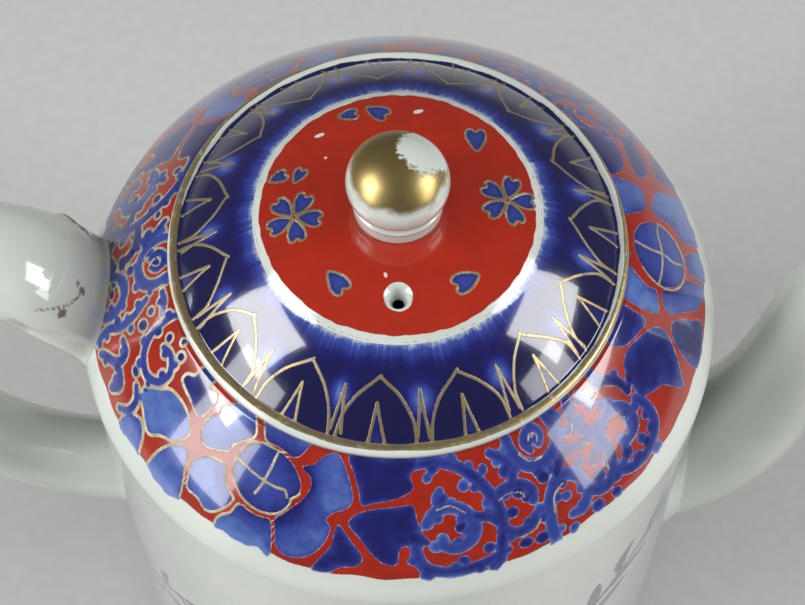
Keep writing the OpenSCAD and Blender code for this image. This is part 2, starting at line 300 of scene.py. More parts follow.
class Paint:
    """The cobalt and the gold on one unrolled surface, by angle and distance along its outline."""

    def __init__(self, angle, along, mm_per_degree):
        self.angle, self.v, self.scale = angle, along, mm_per_degree
        self.blue = np.full(angle.shape, FAR)
        self.tone = np.zeros(angle.shape)
        self.gold = np.full(angle.shape, FAR)

    def across(self, centre):
        """Distance round from a centre angle."""
        return ((self.angle - centre + 180) % 360 - 180) * self.scale

    def add_blue(self, depth, tone):
        """Cobalt where depth is above 0: tone 0 is pale and 1 is nearly black."""
        top = depth > self.blue
        self.blue[top] = depth[top]
        self.tone[top] = np.broadcast_to(tone, depth.shape)[top]

    def add_gold(self, depth):
        self.gold = np.maximum(self.gold, depth)


# ---------- materials ----------


class Nodes:
    """Short ways to build a node material."""

    def __init__(self, name):
        self.material = bpy.data.materials.new(name)
        self.material.use_nodes = True
        self.tree = self.material.node_tree
        self.shader = self.tree.nodes["Principled BSDF"]

    def put(self, socket, value):
        if isinstance(value, bpy.types.NodeSocket):
            self.tree.links.new(value, socket)
        elif isinstance(value, (tuple, list)) and len(value) == 3 and socket.type == "RGBA":
            socket.default_value = (*value, 1)
        else:
            socket.default_value = value

    def add(self, kind, inputs=(), **settings):
        node = self.tree.nodes.new("ShaderNode" + kind)
        for key, value in settings.items():
            setattr(node, key, value)
        for key, value in dict(inputs).items():
            self.put(node.inputs[key], value)
        return node

    def set(self, **inputs):
        for key, value in inputs.items():
            self.put(self.shader.inputs[key.replace("_", " ")], value)

    def math(self, operation, a, b=0.0, c=0.0, clamp=False):
        node = self.add("Math", {0: a, 1: b, 2: c}, operation=operation, use_clamp=clamp)
        return node.outputs[0]

    def times(self, a, b, plus=None):
        """a times b, and plus a third value where one is given."""
        if plus is None:
            return self.math("MULTIPLY", a, b)
        return self.math("MULTIPLY_ADD", a, b, plus)

    def ease(self, value, low, high):
        """0 below low and 1 above high, smoothly between."""
        limits = {"Value": value, "From Min": low, "From Max": high}
        return self.add("MapRange", limits, interpolation_type="SMOOTHSTEP").outputs["Result"]

    def blend(self, amount, a, b):
        """Colour a where amount is 0 and colour b where it is 1."""
        node = self.add("Mix", data_type="RGBA")
        colours = [s for s in node.inputs if s.type == "RGBA"]
        self.put(node.inputs[0], amount)
        self.put(colours[0], a)
        self.put(colours[1], b)
        return next(s for s in node.outputs if s.type == "RGBA")

    def layer(self, name):
        return self.add("Attribute", attribute_name=name, attribute_type="GEOMETRY").outputs["Fac"]

    def place(self):
        return self.add("TexCoord").outputs["Object"]

    def noise(self, size_mm, detail=2.0, roughness=0.5, stretch=None):
        """Noise from -0.5 to 0.5, with lumps about size_mm across."""
        vector = self.place()
        if stretch:
            vector = self.add("Mapping", {"Vector": vector, "Scale": stretch}).outputs[0]
        node = self.add("TexNoise", {
            "Vector": vector, "Scale": 1 / (size_mm * MM), "Detail": detail, "Roughness": roughness
        })
        return self.math("SUBTRACT", node.outputs["Fac"], 0.5)

    def specks(self, spacing_mm, radius_mm, share):
        """1 on a few round specks, for a share of the cells of a random grid."""
        cells = self.add("TexVoronoi", {"Vector": self.place(), "Scale": 1 / (spacing_mm * MM)})
        lot = self.add("SeparateColor", {0: cells.outputs["Color"]}).outputs[0]
        chosen = self.math("LESS_THAN", lot, share)
        edge = radius_mm / spacing_mm
        spot = self.ease(cells.outputs["Distance"], edge, edge * 0.5)
        return self.times(spot, chosen)

    def bump(self, height_mm, strength=1.0):
        node = self.add("Bump", {"Height": height_mm, "Distance": MM, "Strength": strength})
        self.put(self.shader.inputs["Normal"], node.outputs[0])


GLAZE = (0.655, 0.69, 0.63)
GLAZE_POOL = (0.56, 0.615, 0.565)
COBALT_PALE = (0.10, 0.175, 0.47)
COBALT_MID = (0.031, 0.052, 0.28)
COBALT_DARK = (0.007, 0.0075, 0.12)
COBALT_DEEPEST = (0.0037, 0.0037, 0.052)
IRON_RED = (0.43, 0.019, 0.003)
IRON_RED_DARK = (0.27, 0.011, 0.002)
GOLD = (0.46, 0.355, 0.155)
GOLD_WORN = (0.36, 0.31, 0.20)
CREAM = (0.60, 0.54, 0.37)
KILN_BROWN = (0.11, 0.065, 0.028)
KNOB_GOLD = (0.40, 0.30, 0.11)
KNOB_GOLD_THIN = (0.36, 0.29, 0.15)
BISCUIT = (0.62, 0.55, 0.46)
BISCUIT_FLUSHED = (0.55, 0.42, 0.29)
PAPER = (0.49, 0.49, 0.485)
PAPER_LIGHT = (0.52, 0.52, 0.515)
GLAZE_ROUGHNESS = 0.12


def glaze_colour(n, specks=True):
    """Clear celadon-white glaze: pools a little greener, with rare iron specks."""
    pool = n.ease(n.noise(28.0, 3.0), -0.18, 0.22)
    colour = n.blend(pool, GLAZE, GLAZE_POOL)
    if specks:
        colour = n.blend(n.times(n.specks(9.0, 0.3, 0.05), 0.7), colour, KILN_BROWN)
    return colour


def glaze_height(n):
    """The glaze's slow waves and its fine orange peel, in millimetres."""
    slow = n.times(n.noise(15.0, 2.0), 0.12)
    return n.times(n.noise(1.0, 3.0, 0.6), 0.008, slow)


def kiln_marks(n, colour):
    """Brown kiln grit where the kiln layer is above 0, ragged at its edge."""
    grit = n.ease(n.times(n.noise(1.1, 4.0, 0.7), 1.6, n.layer("kiln")), -0.15, 0.35)
    return n.blend(n.times(grit, 0.85), colour, KILN_BROWN)


def glaze_shader(n, colour, roughness=GLAZE_ROUGHNESS):
    n.set(Base_Color=colour, Roughness=roughness, Coat_Weight=1.0, Coat_Roughness=0.035)


def porcelain(name, marks=False):
    n = Nodes(name)
    colour = glaze_colour(n)
    if marks:
        colour = kiln_marks(n, colour)
    glaze_shader(n, colour)
    n.set(Subsurface_Weight=0.08)
    n.shader.inputs["Subsurface Radius"].default_value = (0.004, 0.004, 0.003)
    n.bump(glaze_height(n))
    return n.material


def cobalt_colour(n, tone):
    """Cobalt under the glaze from pale at tone 0 to nearly black at 1."""
    colour = n.blend(n.ease(tone, 0.0, 0.4), COBALT_PALE, COBALT_MID)
    colour = n.blend(n.ease(tone, 0.35, 0.75), colour, COBALT_DARK)
    return n.blend(n.ease(tone, 0.68, 1.0), colour, COBALT_DEEPEST)


def painted(
    name, red_painted_shade=0.0, red_mottle=1.0, softness=0.3, brush_depth=0.5, wear=0.5, metal=0.75,
    dull_gold=False,
):
    """Glaze with soft cobalt under it, and red enamel and gilding on it, from a mesh's layers."""
    n = Nodes(name)
    fine = n.noise(0.8, 3.0, 0.6)
    brush = n.noise(2.6, 4.0, 0.62)
    broad = n.noise(9.0, 2.0, 0.5)
    blue = n.times(fine, 0.45, n.layer("blue"))
    covered = n.ease(blue, -softness, softness * 0.35)
    mottle = n.times(brush, brush_depth, n.times(broad, brush_depth * 0.45))
    tone = n.math("ADD", n.layer("tone"), mottle)
    colour = n.blend(covered, glaze_colour(n), cobalt_colour(n, tone))

    red = n.ease(n.times(fine, 0.2, n.layer("red")), -0.06, 0.08)
    # The noise mottle is the enamel's own thicker and thinner patches. On the shoulder the red is also
    # shifted a little darker all over: painted shade, since the shoulder faces away from the lamps. So the
    # darker red below stands for both.
    red_mottle_and_shade = n.times(n.noise(4.5, 4.0, 0.6), red_mottle, red_painted_shade)
    thick = n.ease(red_mottle_and_shade, -0.2, 0.25)
    colour = n.blend(red, colour, n.blend(thick, IRON_RED, IRON_RED_DARK))

    gold_edge = n.times(fine, 0.16, n.layer("gold"))
    worn = n.ease(n.noise(1.2, 4.0, 0.75), 0.02, 0.18)
    gold = n.math("SUBTRACT", n.ease(gold_edge, -0.05, 0.07), n.times(worn, wear), clamp=True)
    fresh, rubbed = (GOLD_WORN, CREAM) if dull_gold else (GOLD, GOLD_WORN)
    colour = n.blend(gold, colour, n.blend(n.ease(brush, -0.1, 0.2), fresh, rubbed))
    colour = kiln_marks(n, colour)

    roughness = n.times(red, 0.06, GLAZE_ROUGHNESS)
    glaze_shader(n, colour, n.times(gold, 0.24, roughness))
    n.set(Metallic=n.times(gold, metal))
    n.set(Coat_Weight=n.times(gold, -0.85, 1.0))
    raised = n.times(gold, 0.05, n.times(red, 0.04))
    n.bump(n.math("ADD", raised, glaze_height(n)))
    return n.material


def gilded(name):
    """The knob: gold over its top, rubbed through where the thumb sits."""
    n = Nodes(name)
    scratches = n.noise(1.0, 5.0, 0.75, stretch=(1.0, 2.2, 1.0))
    fray = n.times(scratches, 4.6, n.times(n.noise(3.0, 2.0), 1.6))
    rub = n.math("ADD", n.layer("rub"), fray)
    edge = n.times(n.noise(1.4, 3.0), 0.8, n.layer("gold"))
    gold = n.times(n.ease(edge, -0.5, 0.45), n.ease(rub, 0.25, -0.05))
    thin = n.ease(n.noise(2.0, 4.0, 0.7), -0.05, 0.28)
    colour = n.blend(thin, KNOB_GOLD, KNOB_GOLD_THIN)
    glaze_shader(n, n.blend(gold, glaze_colour(n, specks=False), colour))
    roughness = n.times(gold, 0.25, GLAZE_ROUGHNESS)
    n.set(Metallic=n.times(gold, 0.92), Roughness=roughness)
    n.set(Coat_Weight=n.times(gold, -0.92, 1.0))
    n.bump(n.times(gold, 0.04, glaze_height(n)))
    return n.material


def biscuit(name):
    """Bare clay, flushed warmer in places."""
    n = Nodes(name)
    grain = n.noise(0.7, 4.0, 0.7)
    flush = n.ease(n.noise(9.0, 3.0), -0.1, 0.25)
    n.set(Base_Color=n.blend(flush, BISCUIT, BISCUIT_FLUSHED), Roughness=0.8)
    n.bump(n.times(grain, 0.08))
    return n.material


def dress(obj, material):
    obj.data.materials.clear()
    obj.data.materials.append(material)


def points_of(obj):
    """The x, y and z of a mesh's points, in millimetres."""
    co = np.empty(len(obj.data.vertices) * 3)
    obj.data.vertices.foreach_get("co", co)
    return (co[k::3] / MM for k in range(3))


porcelain_glaze = porcelain("porcelain_glaze")
# The shoulder's red is set a little darker as painted shade, since the shoulder faces away from the lamps.
shoulder_glaze = painted(
    "shoulder_painting", red_painted_shade=0.08, red_mottle=0.7, dull_gold=True, wear=0.7, metal=0.35
)
lid_glaze = painted("lid_painting", red_mottle=0.3, brush_depth=0.3)
wall_glaze = painted("wall_painting", softness=0.4, brush_depth=0.55)
marked_glaze = porcelain("handle_glaze", marks=True)


# ---------- shoulder ----------

SEAT_FALL = math.radians(38)  # how steeply the shoulder leaves its seat
SEAT_PULL = 9  # and how far its curve holds that slope
shoulder_curve = [
    (SEAT_R, SEAT_Z),
    (SEAT_R + SEAT_PULL * math.cos(SEAT_FALL), SEAT_Z - SEAT_PULL * math.sin(SEAT_FALL)),
    (BODY_R, WALL_TOP + 4),
    (BODY_R, WALL_TOP),
]
BAND_END = 20.4  # where the painted band stops, down the shoulder from the seat
BAND_START = -1.4  # the red runs on under the lid's edge
SHOULDER_MM_PER_DEGREE = 0.8
MOUTH_EDGE, MOUTH_LOWER_EDGE = 0.3, 0.6  # how far the mouth's edges are softened
CORNER_GAP = 0.02  # from a crisp corner to the points beside it


def crisp_corner(before, at, after):
    """A corner with a close point each side, so that smooth shading doesn't round it off."""
    before, at, after = (np.asarray(p, float) for p in (before, at, after))
    back, on = before - at, after - at
    return [
        at + CORNER_GAP * back / np.linalg.norm(back), at, at + CORNER_GAP * on / np.linalg.norm(on)
    ]


def shoulder_outline():
    """The shoulder's closed outline, the length of its flat seat and that of its outer curve."""
    t = np.linspace(0, 1, 120)
    outside = resample(bezier(shoulder_curve, t), 0.36)
    edge = crisp_corner(outside[-2], outside[-1], (BODY_R - WALL_T, WALL_TOP))
    way = bezier_way(shoulder_curve, t)
    left = np.stack([-way[:, 1], way[:, 0]], 1)
    thick = SHOULDER_T + (WALL_T - SHOULDER_T) * t[:, None]
    inside = bezier(shoulder_curve, t) - thick * left
    under = SEAT_Z - SHOULDER_T
    kept = (inside[:, 1] < under) & (inside[:, 0] > MOUTH_R + 1) & (inside[:, 1] > WALL_TOP + 0.01)
    inside = np.vstack([
        [(BODY_R - WALL_T, WALL_TOP)], inside[kept][::-1], [(MOUTH_R + MOUTH_LOWER_EDGE, under)]
    ])
    seat = resample([(MOUTH_R + MOUTH_EDGE, SEAT_Z), (SEAT_R, SEAT_Z)], 0.7)[:-1]
    mouth = [
        (MOUTH_R, under + MOUTH_LOWER_EDGE), (MOUTH_R, SEAT_Z - MOUTH_EDGE), (MOUTH_R + MOUTH_EDGE, SEAT_Z)
    ]
    outline = np.vstack([seat, outside[:-1], edge, resample(inside, 2.0), mouth])
    return outline, SEAT_R - MOUTH_R - MOUTH_EDGE, lengths(outside)[-1]


def oval(centre, a, b, turn=0.0, n=24):
    t = full_turn(n)
    return turned(a * np.cos(t), b * np.sin(t), centre, turn)


# Flowers are drawn in millimetres across from their centre and down from the seat. Each petal is
# its brush-drawn edge. The bloom beside the scrolls is the fuller one; the other is set wider.
BLOOM_BOSS = [
    (-6.4, 5.0), (-4.5, 2.9), (-1.0, 2.4), (2.5, 3.4), (4.8, 5.6), (5.3, 7.8), (4.2, 9.2), (4.0, 10.6),
    (2.6, 12.6), (0, 13.4), (-3.0, 12.9), (-5.6, 10.9), (-6.8, 8.6),
]
BLOOM_PETALS = [
    [(-13.9, 1.5), (-12.4, 0), (-10, -1.5), (-8, -1.2), (-6.2, 0.6), (-5.6, 2.4), (-7.4, 4.4), (-8.4, 5.6),
     (-8.6, 7.0), (-11, 8.4), (-13.0, 9.0), (-14.6, 7.6), (-15.0, 5.4), (-14.3, 3.8), (-13.6, 2.9)],
    [(-4.6, 0), (-5, -2), (4.6, -2), (4.6, 0), (3.6, 1.8), (2.4, 2.4), (0, 1.9), (-3.0, 2.0)],
    [(4.6, 3.5), (6.4, 2.4), (8.2, 0.4), (10.2, -0.4), (12.0, 1.2), (13.4, 3.8), (14.3, 6.6), (13.4, 8.4),
     (11.6, 9.4), (10.4, 10.9), (11.3, 12.2), (10.9, 14.6), (9.6, 17.2), (7.6, 19.0), (5.2, 19.4),
     (3.8, 18.2), (3.0, 15.8), (2.4, 14.2), (4.2, 11.4), (5.9, 9.0), (6.9, 6.6), (6.5, 4.6)],
    [(-3.4, 14.2), (-0.4, 14.6), (2.2, 14.2), (2.8, 17), (3.2, 20.0), (2.0, 22), (-4.0, 22), (-5.8, 20.4),
     (-5.6, 18.2), (-4.2, 16.4)],
    [(-12.0, 10.8), (-10.4, 9.8), (-8.0, 9.6), (-7.4, 11.2), (-5.8, 13.0), (-4.6, 14.0), (-5.4, 16.2),
     (-6.8, 18.2), (-8.2, 18.8), (-9.8, 17.8), (-12.0, 17.6), (-12.8, 15.4), (-13.2, 12.4)],
    [(-24.0, 7.0), (-21, 6.6), (-18.2, 7.4), (-16.4, 9.2), (-16.6, 10.8), (-17.8, 12.8), (-20.4, 14.2),
     (-22.2, 16.0), (-24.2, 15.2), (-25.6, 14.2), (-27.8, 12.8), (-27.2, 10.4), (-25.4, 8.6)],
    [(-16.2, 12.0), (-14.6, 12.6), (-13.9, 15), (-13.0, 17.8), (-12.6, 20), (-13.0, 22), (-19, 22),
     (-19.4, 18.0), (-18.4, 14.6)],
    [(-26.6, 22), (-27.8, 19.5), (-26.8, 17.0), (-25.0, 15.8), (-23.4, 16.6), (-22.4, 18.6), (-22, 22)],
]
BLOOM_LEAVES = [
    [(-23.6, 2.6), (-22.2, 1.6), (-22.0, -1), (-18.6, -1), (-18.4, 0.6), (-17.6, 0.9), (-16.4, 0.6),
     (-15.4, 1.6), (-15.6, 3.2), (-16.6, 6.0), (-20, 5.0), (-23.4, 4.2)],
    [(13.0, -1), (24, -1), (25.8, 0.6), (24.0, 2.0), (24.4, 4.4), (21.4, 6.0), (18.0, 6.8), (15.8, 7.4),
     (15.2, 5.2), (14.0, 2.4)],
    [(15.6, 8.8), (18.4, 7.8), (21.4, 7.4), (24.2, 7.2), (24.8, 9.4), (25.4, 11.8), (26.6, 13.6),
     (26, 14.4), (23.0, 14.2), (22.0, 15.2), (21.6, 17.6), (19.6, 17.4), (17.6, 15.4), (16.0, 13.2),
     (14.0, 10.8)],
    [(12.6, 11.4), (14.6, 13.8), (16.6, 16.6), (15.8, 18.4), (13.6, 19.0), (12.0, 20.4), (9.6, 20.6),
     (10.2, 18.6), (11.8, 15.4), (12.0, 13)],
]
BLOOM_CROSS = [
    [(-6.3, 7.2), (-3.5, 7.8), (-1, 8.2), (1.5, 8.4), (2.8, 8.2), (3.6, 9.3)],
    [(-0.4, 3.0), (-0.6, 5.5), (-0.9, 8), (-1.2, 9.5), (-1.7, 11)],
]
WIDE_BOSS = oval((-0.7, 7.4), 6.2, 6.6)
WIDE_PETALS = [
    [(-13.2, -1), (-6.4, -1), (-7.6, 1.6), (-8.6, 4.0), (-8.4, 6.2), (-10.4, 7.0), (-12.2, 7.4),
     (-13.4, 4.2)],
    [(-5.4, -2), (4.6, -2), (4.0, -0.4), (0, -0.8), (-4.2, -0.2)],
    [(-11.0, 9.6), (-9.8, 8.2), (-7.8, 7.8), (-6.6, 9.6), (-5.4, 12), (-3.2, 13.8), (-2.6, 16),
     (-2.0, 19.8), (-4.4, 19.6), (-7.2, 17), (-8.8, 14), (-10.4, 11.4)],
    [(-1.2, 15.4), (1.6, 14.8), (2.6, 17), (3.8, 20.5), (-0.8, 21), (-1.2, 18)],
    [(4.2, 15), (6.4, 12.4), (7.2, 9.0), (8.8, 7.8), (11.4, 9.6), (13.0, 12), (13.6, 15), (13.4, 18),
     (13.8, 21.6), (6, 21.6), (4.6, 18.4)],
    [(5.8, -1), (14, -1), (14.2, 2.6), (13.2, 6.4), (10.4, 6.6), (8.0, 5.6), (6.6, 2.6)],
]
WIDE_LEAVES = [
    [(-25.8, 4.8), (-22, 3.6), (-16.4, 6.2), (-14.6, 8.4), (-14.6, 10.6), (-16.4, 13.8), (-18.4, 16.6),
     (-19.8, 18.4), (-21.2, 16), (-22.4, 13.6), (-25.6, 11.6), (-27.0, 10)],
    [(-23.8, -1), (-16, -1), (-15, 2), (-15.2, 5.0), (-18.6, 4.2), (-22.6, 2.4)],
    [(-14.4, 12), (-12.2, 11.2), (-10.6, 13.2), (-9.4, 16), (-8.4, 19.6), (-14.8, 20.6), (-16, 18.6),
     (-15.6, 15)],
    [(15.6, -1), (27, -1), (26, 4), (22, 7), (17, 4.4)],
    [(15.4, 7.4), (18.6, 7.6), (23.0, 9.6), (25.6, 12.4), (23.4, 14.6), (19.0, 13.2), (16.2, 10.8)],
    [(15.8, 14.4), (19.4, 16.0), (22.2, 18.4), (21.0, 21), (15.6, 21)],
]
WIDE_CROSS = [
    [(-6.6, 6.8), (-3.2, 7.6), (0.2, 7.8), (3.4, 7.4), (5.2, 8.0)],
    [(-0.2, 1.2), (-0.6, 4.6), (-0.4, 8.0), (-1.0, 11.0), (-0.6, 13.4)],
]

# Scrolls: half width, tone and the way of each stroke, in millimetres from the group's left end
SCROLLS = [
    (1.05, 0.5, [(-1.5, 0.8), (1.6, 0.2), (5, 0.3), (9, 2.2), (12, 5.8), (13.6, 10), (13.6, 14),
                 (12.6, 18), (12, 21)]),
    (1.15, 0.45, [(2.0, 10.6), (3.2, 8.8), (5.6, 8.1), (8.0, 9.2), (9.3, 11.8), (8.7, 14.2), (6.5, 15.5),
                  (4.5, 14.8), (4.2, 13.4)]),
    (0.95, 0.55, [(4.8, 8.2), (3.9, 6.6), (4.5, 5.2)]),
    (0.9, 0.6, [(9.8, 10.6), (12.2, 11.6), (13.4, 13.2)]),
    (1.0, 0.5, [(0.2, 11.4), (0.2, 15.6), (1.6, 18.6), (5.6, 19.9), (9.6, 19.4), (12.2, 18.6)]),
    (1.1, 0.62, [(13.4, 8.6), (15.4, 7.6), (18.0, 8.0), (19.5, 9.6), (19.4, 11.4)]),
    (0.95, 0.6, [(13.6, 14.4), (15.6, 15.8), (18.0, 15.4), (18.9, 14.0)]),
    (1.0, 0.5, [(14.6, 1.0), (16.6, 2.6), (17.6, 5.0), (16.8, 7.4)]),
    (1.2, 0.45, [(18.4, -0.6), (18.5, 2.4), (20.2, 5.2), (23.2, 6.4), (26.3, 5.2), (27.7, 2.4),
                 (27.2, -0.8)]),
    (0.8, 0.55, [(22.0, 3.4), (21.2, 1.8), (22.4, 0.3), (24.2, 0.4), (24.8, 1.9), (23.8, 3.2)]),
    (1.1, 0.5, [(20.8, 20.8), (20.9, 16.8), (21.8, 13.2), (23.6, 10.6), (25.8, 10.2), (27.8, 12.2),
                (28.0, 15.2), (26.4, 17.6), (24.6, 17.4)]),
    (0.95, 0.6, [(24.4, 10.4), (25.2, 8.2), (27.6, 7.0), (30.4, 7.4)]),
    (1.05, 0.55, [(28.2, 15.2), (30.4, 17.0), (32.6, 16.2), (34.2, 12.8), (34.0, 8.6), (32.0, 5.4),
                  (31.4, 2.0), (33.0, -0.6)]),
    (1.0, 0.5, [(34.2, 9.2), (36.8, 7.2), (39.6, 7.4), (41.2, 9.8), (40.6, 12.6), (38.4, 13.4),
                (37.0, 12.0)]),
    (0.9, 0.6, [(35.6, 3.6), (38.0, 2.0), (41.2, 2.6), (43.2, 5.0), (43.4, 7.6)]),
    (1.0, 0.55, [(33.4, 15.4), (36.0, 17.8), (39.8, 18.4), (43.4, 16.4), (44.4, 12.8), (43.6, 9.6)]),
]
# Buds on the scrolls: across, down, radius
BUDS = [
    (8.7, 5.0, 1.1), (2.6, 2.7, 1.0), (12.6, 3.2, 1.0), (15.6, 12.0, 1.1), (16.4, 4.8, 1.3),
    (20.0, 13.6, 1.2), (22.2, 8.6, 1.2), (16.4, 18.2, 1.15), (18.9, 18.6, 1.1), (28.9, 9.9, 1.1),
    (31.5, 11.2, 1.4), (30.8, 14.4, 1.2), (24.6, 13.8, 0.95), (30.0, 4.4, 1.2), (29.2, 1.2, 1.1),
    (35.0, 1.2, 1.4), (37.6, 4.9, 1.1), (36.8, 15.2, 1.2), (40.2, 15.6, 1.1), (39.9, 0.0, 1.2),
    (28.6, 19.0, 1.2), (32.2, 19.4, 1.1), (24.0, 20.0, 1.0), (7.2, 12.0, 1.0), (7.0, 18.0, 1.0),
    (41.6, 19.6, 1.2), (45.4, 6.6, 1.1), (10.9, 16.8, 1.0),
]
CREAM_ARCS = [
    [(13.9, 9.2), (15.6, 8.7), (17.6, 9.2), (18.3, 10.6)], [(19.6, 3.0), (21.0, 5.0), (23.4, 5.5)],
    [(22.2, 1.9), (23.0, 0.9), (24.2, 1.6), (23.6, 2.8)], [(21.9, 15.4), (22.8, 12.6), (24.8, 11.4)],
    [(16.0, 16.9), (18.2, 16.6), (19.6, 15.2)], [(3.6, 8.3), (6.0, 8.0), (8.2, 9.6)],
    [(35.4, 8.9), (38.0, 8.4), (40.0, 10.2)], [(29.4, 5.3), (31.0, 3.9), (31.0, 1.6)],
    [(32.6, 15.0), (33.3, 12.4)], [(37.0, 3.0), (39.8, 2.9), (41.8, 4.6)],
]
# The scrolls' last curls, beside the handle, from the bloom's left end
END_CURLS = [
    (0.85, 0.5, [(-8.9, -1), (-9.2, 3), (-8.6, 6.2), (-6.6, 8.8), (-3.4, 9.9), (-0.8, 8.4), (-0.2, 6),
                 (-1.2, 4.4), (-3.2, 3.6), (-5.0, 4.2)]),
    (0.8, 0.45, [(-15.2, 1.2), (-13.0, 1.2), (-11, 2.2)]),
    (0.9, 0.55, [(-11.6, 12.4), (-9.6, 12.4), (-8.9, 14), (-9.6, 15.8), (-11.6, 17.6), (-12.6, 19)]),
    (0.9, 0.5, [(-15.6, 5.0), (-14.2, 8.4), (-14.0, 12.0), (-15.2, 15.6), (-14.8, 19.4)]),
    (1.1, 0.4, [(-7.6, 15.4), (-6.0, 16.6), (-6.6, 18.6)]),
    (0.8, 0.5, [(-3.4, 13.0), (-1.6, 14.6), (-1.6, 17.2), (-3.2, 19.0)]),
]
END_BUDS = [
    (-5.7, 2.4, 0.95), (-1.0, 2.0, 1.0), (-11.4, 6.9, 1.2), (-5.4, 11.8, 1.05), (-12.8, 4.4, 0.9),
    (-1.4, 11.6, 0.9), (-12.4, 9.8, 0.9), (-3.0, 0.2, 0.8),
]

BOSS_DOWN = 8  # a boss's middle, down from the seat
BOSS_REACH = 6.5  # from there to the petals' roots
SCROLLS_WIDTH = 44.5
LEFT_STROKES_END, LEFT_BUDS_END, LEFT_ARCS = 29, 28, 6  # what is in the group's left part
GILT_ANGLE, GILT_HALF, GILT_FADE = -165, 35, 28  # where gilding is kept, and how it fades, in degrees
PINHOLE_ANGLE, PINHOLE_DOWN, PINHOLE_R = 7.75, 23.8, 0.35


def beads_along(line, half_width, rng):
    """Small round lobes on both sides of a scroll's stroke."""
    along = lengths(line)
    beads = []
    for at in np.arange(1.6, along[-1], 3.3):
        k = min(max(int(np.searchsorted(along, at)), 1), len(line) - 2)
        way = line[k + 1] - line[k - 1]
        normal = np.array([-way[1], way[0]]) / max(np.hypot(*way), 1e-6)
        spot = line[k] + rng.choice([-1, 1]) * normal * (half_width * rng.uniform(0.75, 1.15))
        beads.append((spot[0], spot[1], rng.uniform(0.75, 1.15)))
    return beads


def near_edge(depth, reach):
    """1 at a shape's edge and outside it, fading inwards."""
    return np.exp(-np.clip(depth, 0, 9) / reach)


def pale_rim(depth, tone):
    """The wash is thin along a shape's edge and pools inside it."""
    return tone - 0.42 * near_edge(depth, 0.4)


class Cells:
    """Painted cells with narrow red channels between them: near a border both stop short of it."""

    def __init__(self, shape):
        self.first, self.second, self.tone = np.full(shape, FAR), np.full(shape, FAR), np.zeros(shape)

    def add(self, depth, tone):
        top = depth > self.first
        self.second = np.where(top, self.first, np.maximum(self.second, depth))
        self.tone = np.where(top, tone, self.tone)
        self.first = np.where(top, depth, self.first)

    def blue(self, channel=0.3):
        return np.minimum(self.first, (self.first - self.second) / 2 - channel)


def flower(paint, centre, boss, petals, leaves, cross, seed):
    """A flower with its boss, pale watery petals and dark leaves."""
    rng = np.random.default_rng(seed)
    u, v = paint.across(centre), paint.v
    from_boss = np.hypot(u, v - BOSS_DOWN) - BOSS_REACH
    cells = Cells(u.shape)
    for petal in petals:
        depth = shape_depth(u, v, smooth(petal, 4, closed=True))
        root = 0.42 * hump(np.clip(from_boss, 0, 99), 2.6)
        cells.add(depth, 0.10 + 0.12 * rng.random() + root + 0.16 * near_edge(depth, 0.6))
    for leaf in leaves:
        depth = shape_depth(u, v, smooth(leaf, 4, closed=True))
        cells.add(depth, 0.68 + 0.14 * rng.random() - 0.3 * near_edge(depth, 0.8))
    boss_depth = shape_depth(u, v, smooth(boss, 4, closed=True))
    cells.add(boss_depth, 0.34 + 0.3 * near_edge(boss_depth, 1.4))
    paint.add_blue(cells.blue(), cells.tone)
    # The gold line round the boss is open at its upper right
    ring = 0.22 - np.abs(boss_depth + 0.15)
    paint.add_gold(np.where(u * 0.5 - (v - BOSS_DOWN) < 3.0, ring, FAR))
    for line in cross:
        paint.add_gold(stroke_depth(u, v, smooth(line), 0.26))


def scrolls(paint, centre, strokes, buds, arcs, seed, mirror_at=None):
    """Curling stems with lobes and buds along them; mirrored where mirror_at gives the group's width."""
    rng = np.random.default_rng(seed)
    u, v = paint.across(centre), paint.v
    if mirror_at:
        u = mirror_at - u
    for half_width, tone, points in strokes:
        line = smooth(points, 6)
        swell = half_width * (0.82 + 0.22 * np.sin(np.linspace(0.2, math.pi, len(line))))
        depth = stroke_depth(u, v, line, swell)
        paint.add_blue(depth, pale_rim(depth, tone + rng.uniform(0.0, 0.2)))
        for x, y, size in beads_along(line, half_width, rng):
            depth = size - np.hypot(u - x, v - y)
            paint.add_blue(depth, pale_rim(depth, tone + rng.uniform(-0.05, 0.25)))
    for x, y, size in buds:
        depth = shape_depth(u, v, oval((x, y), size, size * rng.uniform(0.8, 1.0), rng.uniform(0, 180), 12))
        paint.add_blue(depth, pale_rim(depth, rng.uniform(0.5, 0.85)))
    for points in arcs:
        paint.add_gold(stroke_depth(u, v, smooth(points), 0.17))


def paint_shoulder(paint):
    """Three flowers, with scrolls between them."""
    bloom = (BLOOM_BOSS, BLOOM_PETALS, BLOOM_LEAVES, BLOOM_CROSS)
    wide = (WIDE_BOSS, WIDE_PETALS, WIDE_LEAVES, WIDE_CROSS)
    for k, (centre, kind) in enumerate([(-117.5, bloom), (2.5, wide), (122.5, bloom)]):
        flower(paint, centre, *kind, seed=10 + k)
    scrolls(paint, -87, SCROLLS, BUDS, CREAM_ARCS, 21)
    scrolls(paint, 33, SCROLLS, BUDS, CREAM_ARCS, 22, mirror_at=SCROLLS_WIDTH)
    # The third group has room for its left part only, before the end curls
    strokes = [s for s in SCROLLS if max(p[0] for p in s[2]) < LEFT_STROKES_END]
    buds = [b for b in BUDS if b[0] < LEFT_BUDS_END]
    scrolls(paint, 153.5, strokes, buds, CREAM_ARCS[:LEFT_ARCS], 23)
    scrolls(paint, -150, END_CURLS, END_BUDS, [], 24)


def gilt_edges(paint):
    """Gilding along the cobalt's edges, kept on the handle's side and nearly gone on the spout's."""
    turned_away = np.abs((paint.angle - GILT_ANGLE + 180) % 360 - 180)
    kept = np.clip(1.15 - (turned_away - GILT_HALF) / GILT_FADE, 0.14, 1)
    kept = kept + 0.12 * ripple(paint.angle, (6, 11, 17), 33)
    return 0.34 * kept - 0.09 - np.abs(paint.blue + 0.05)


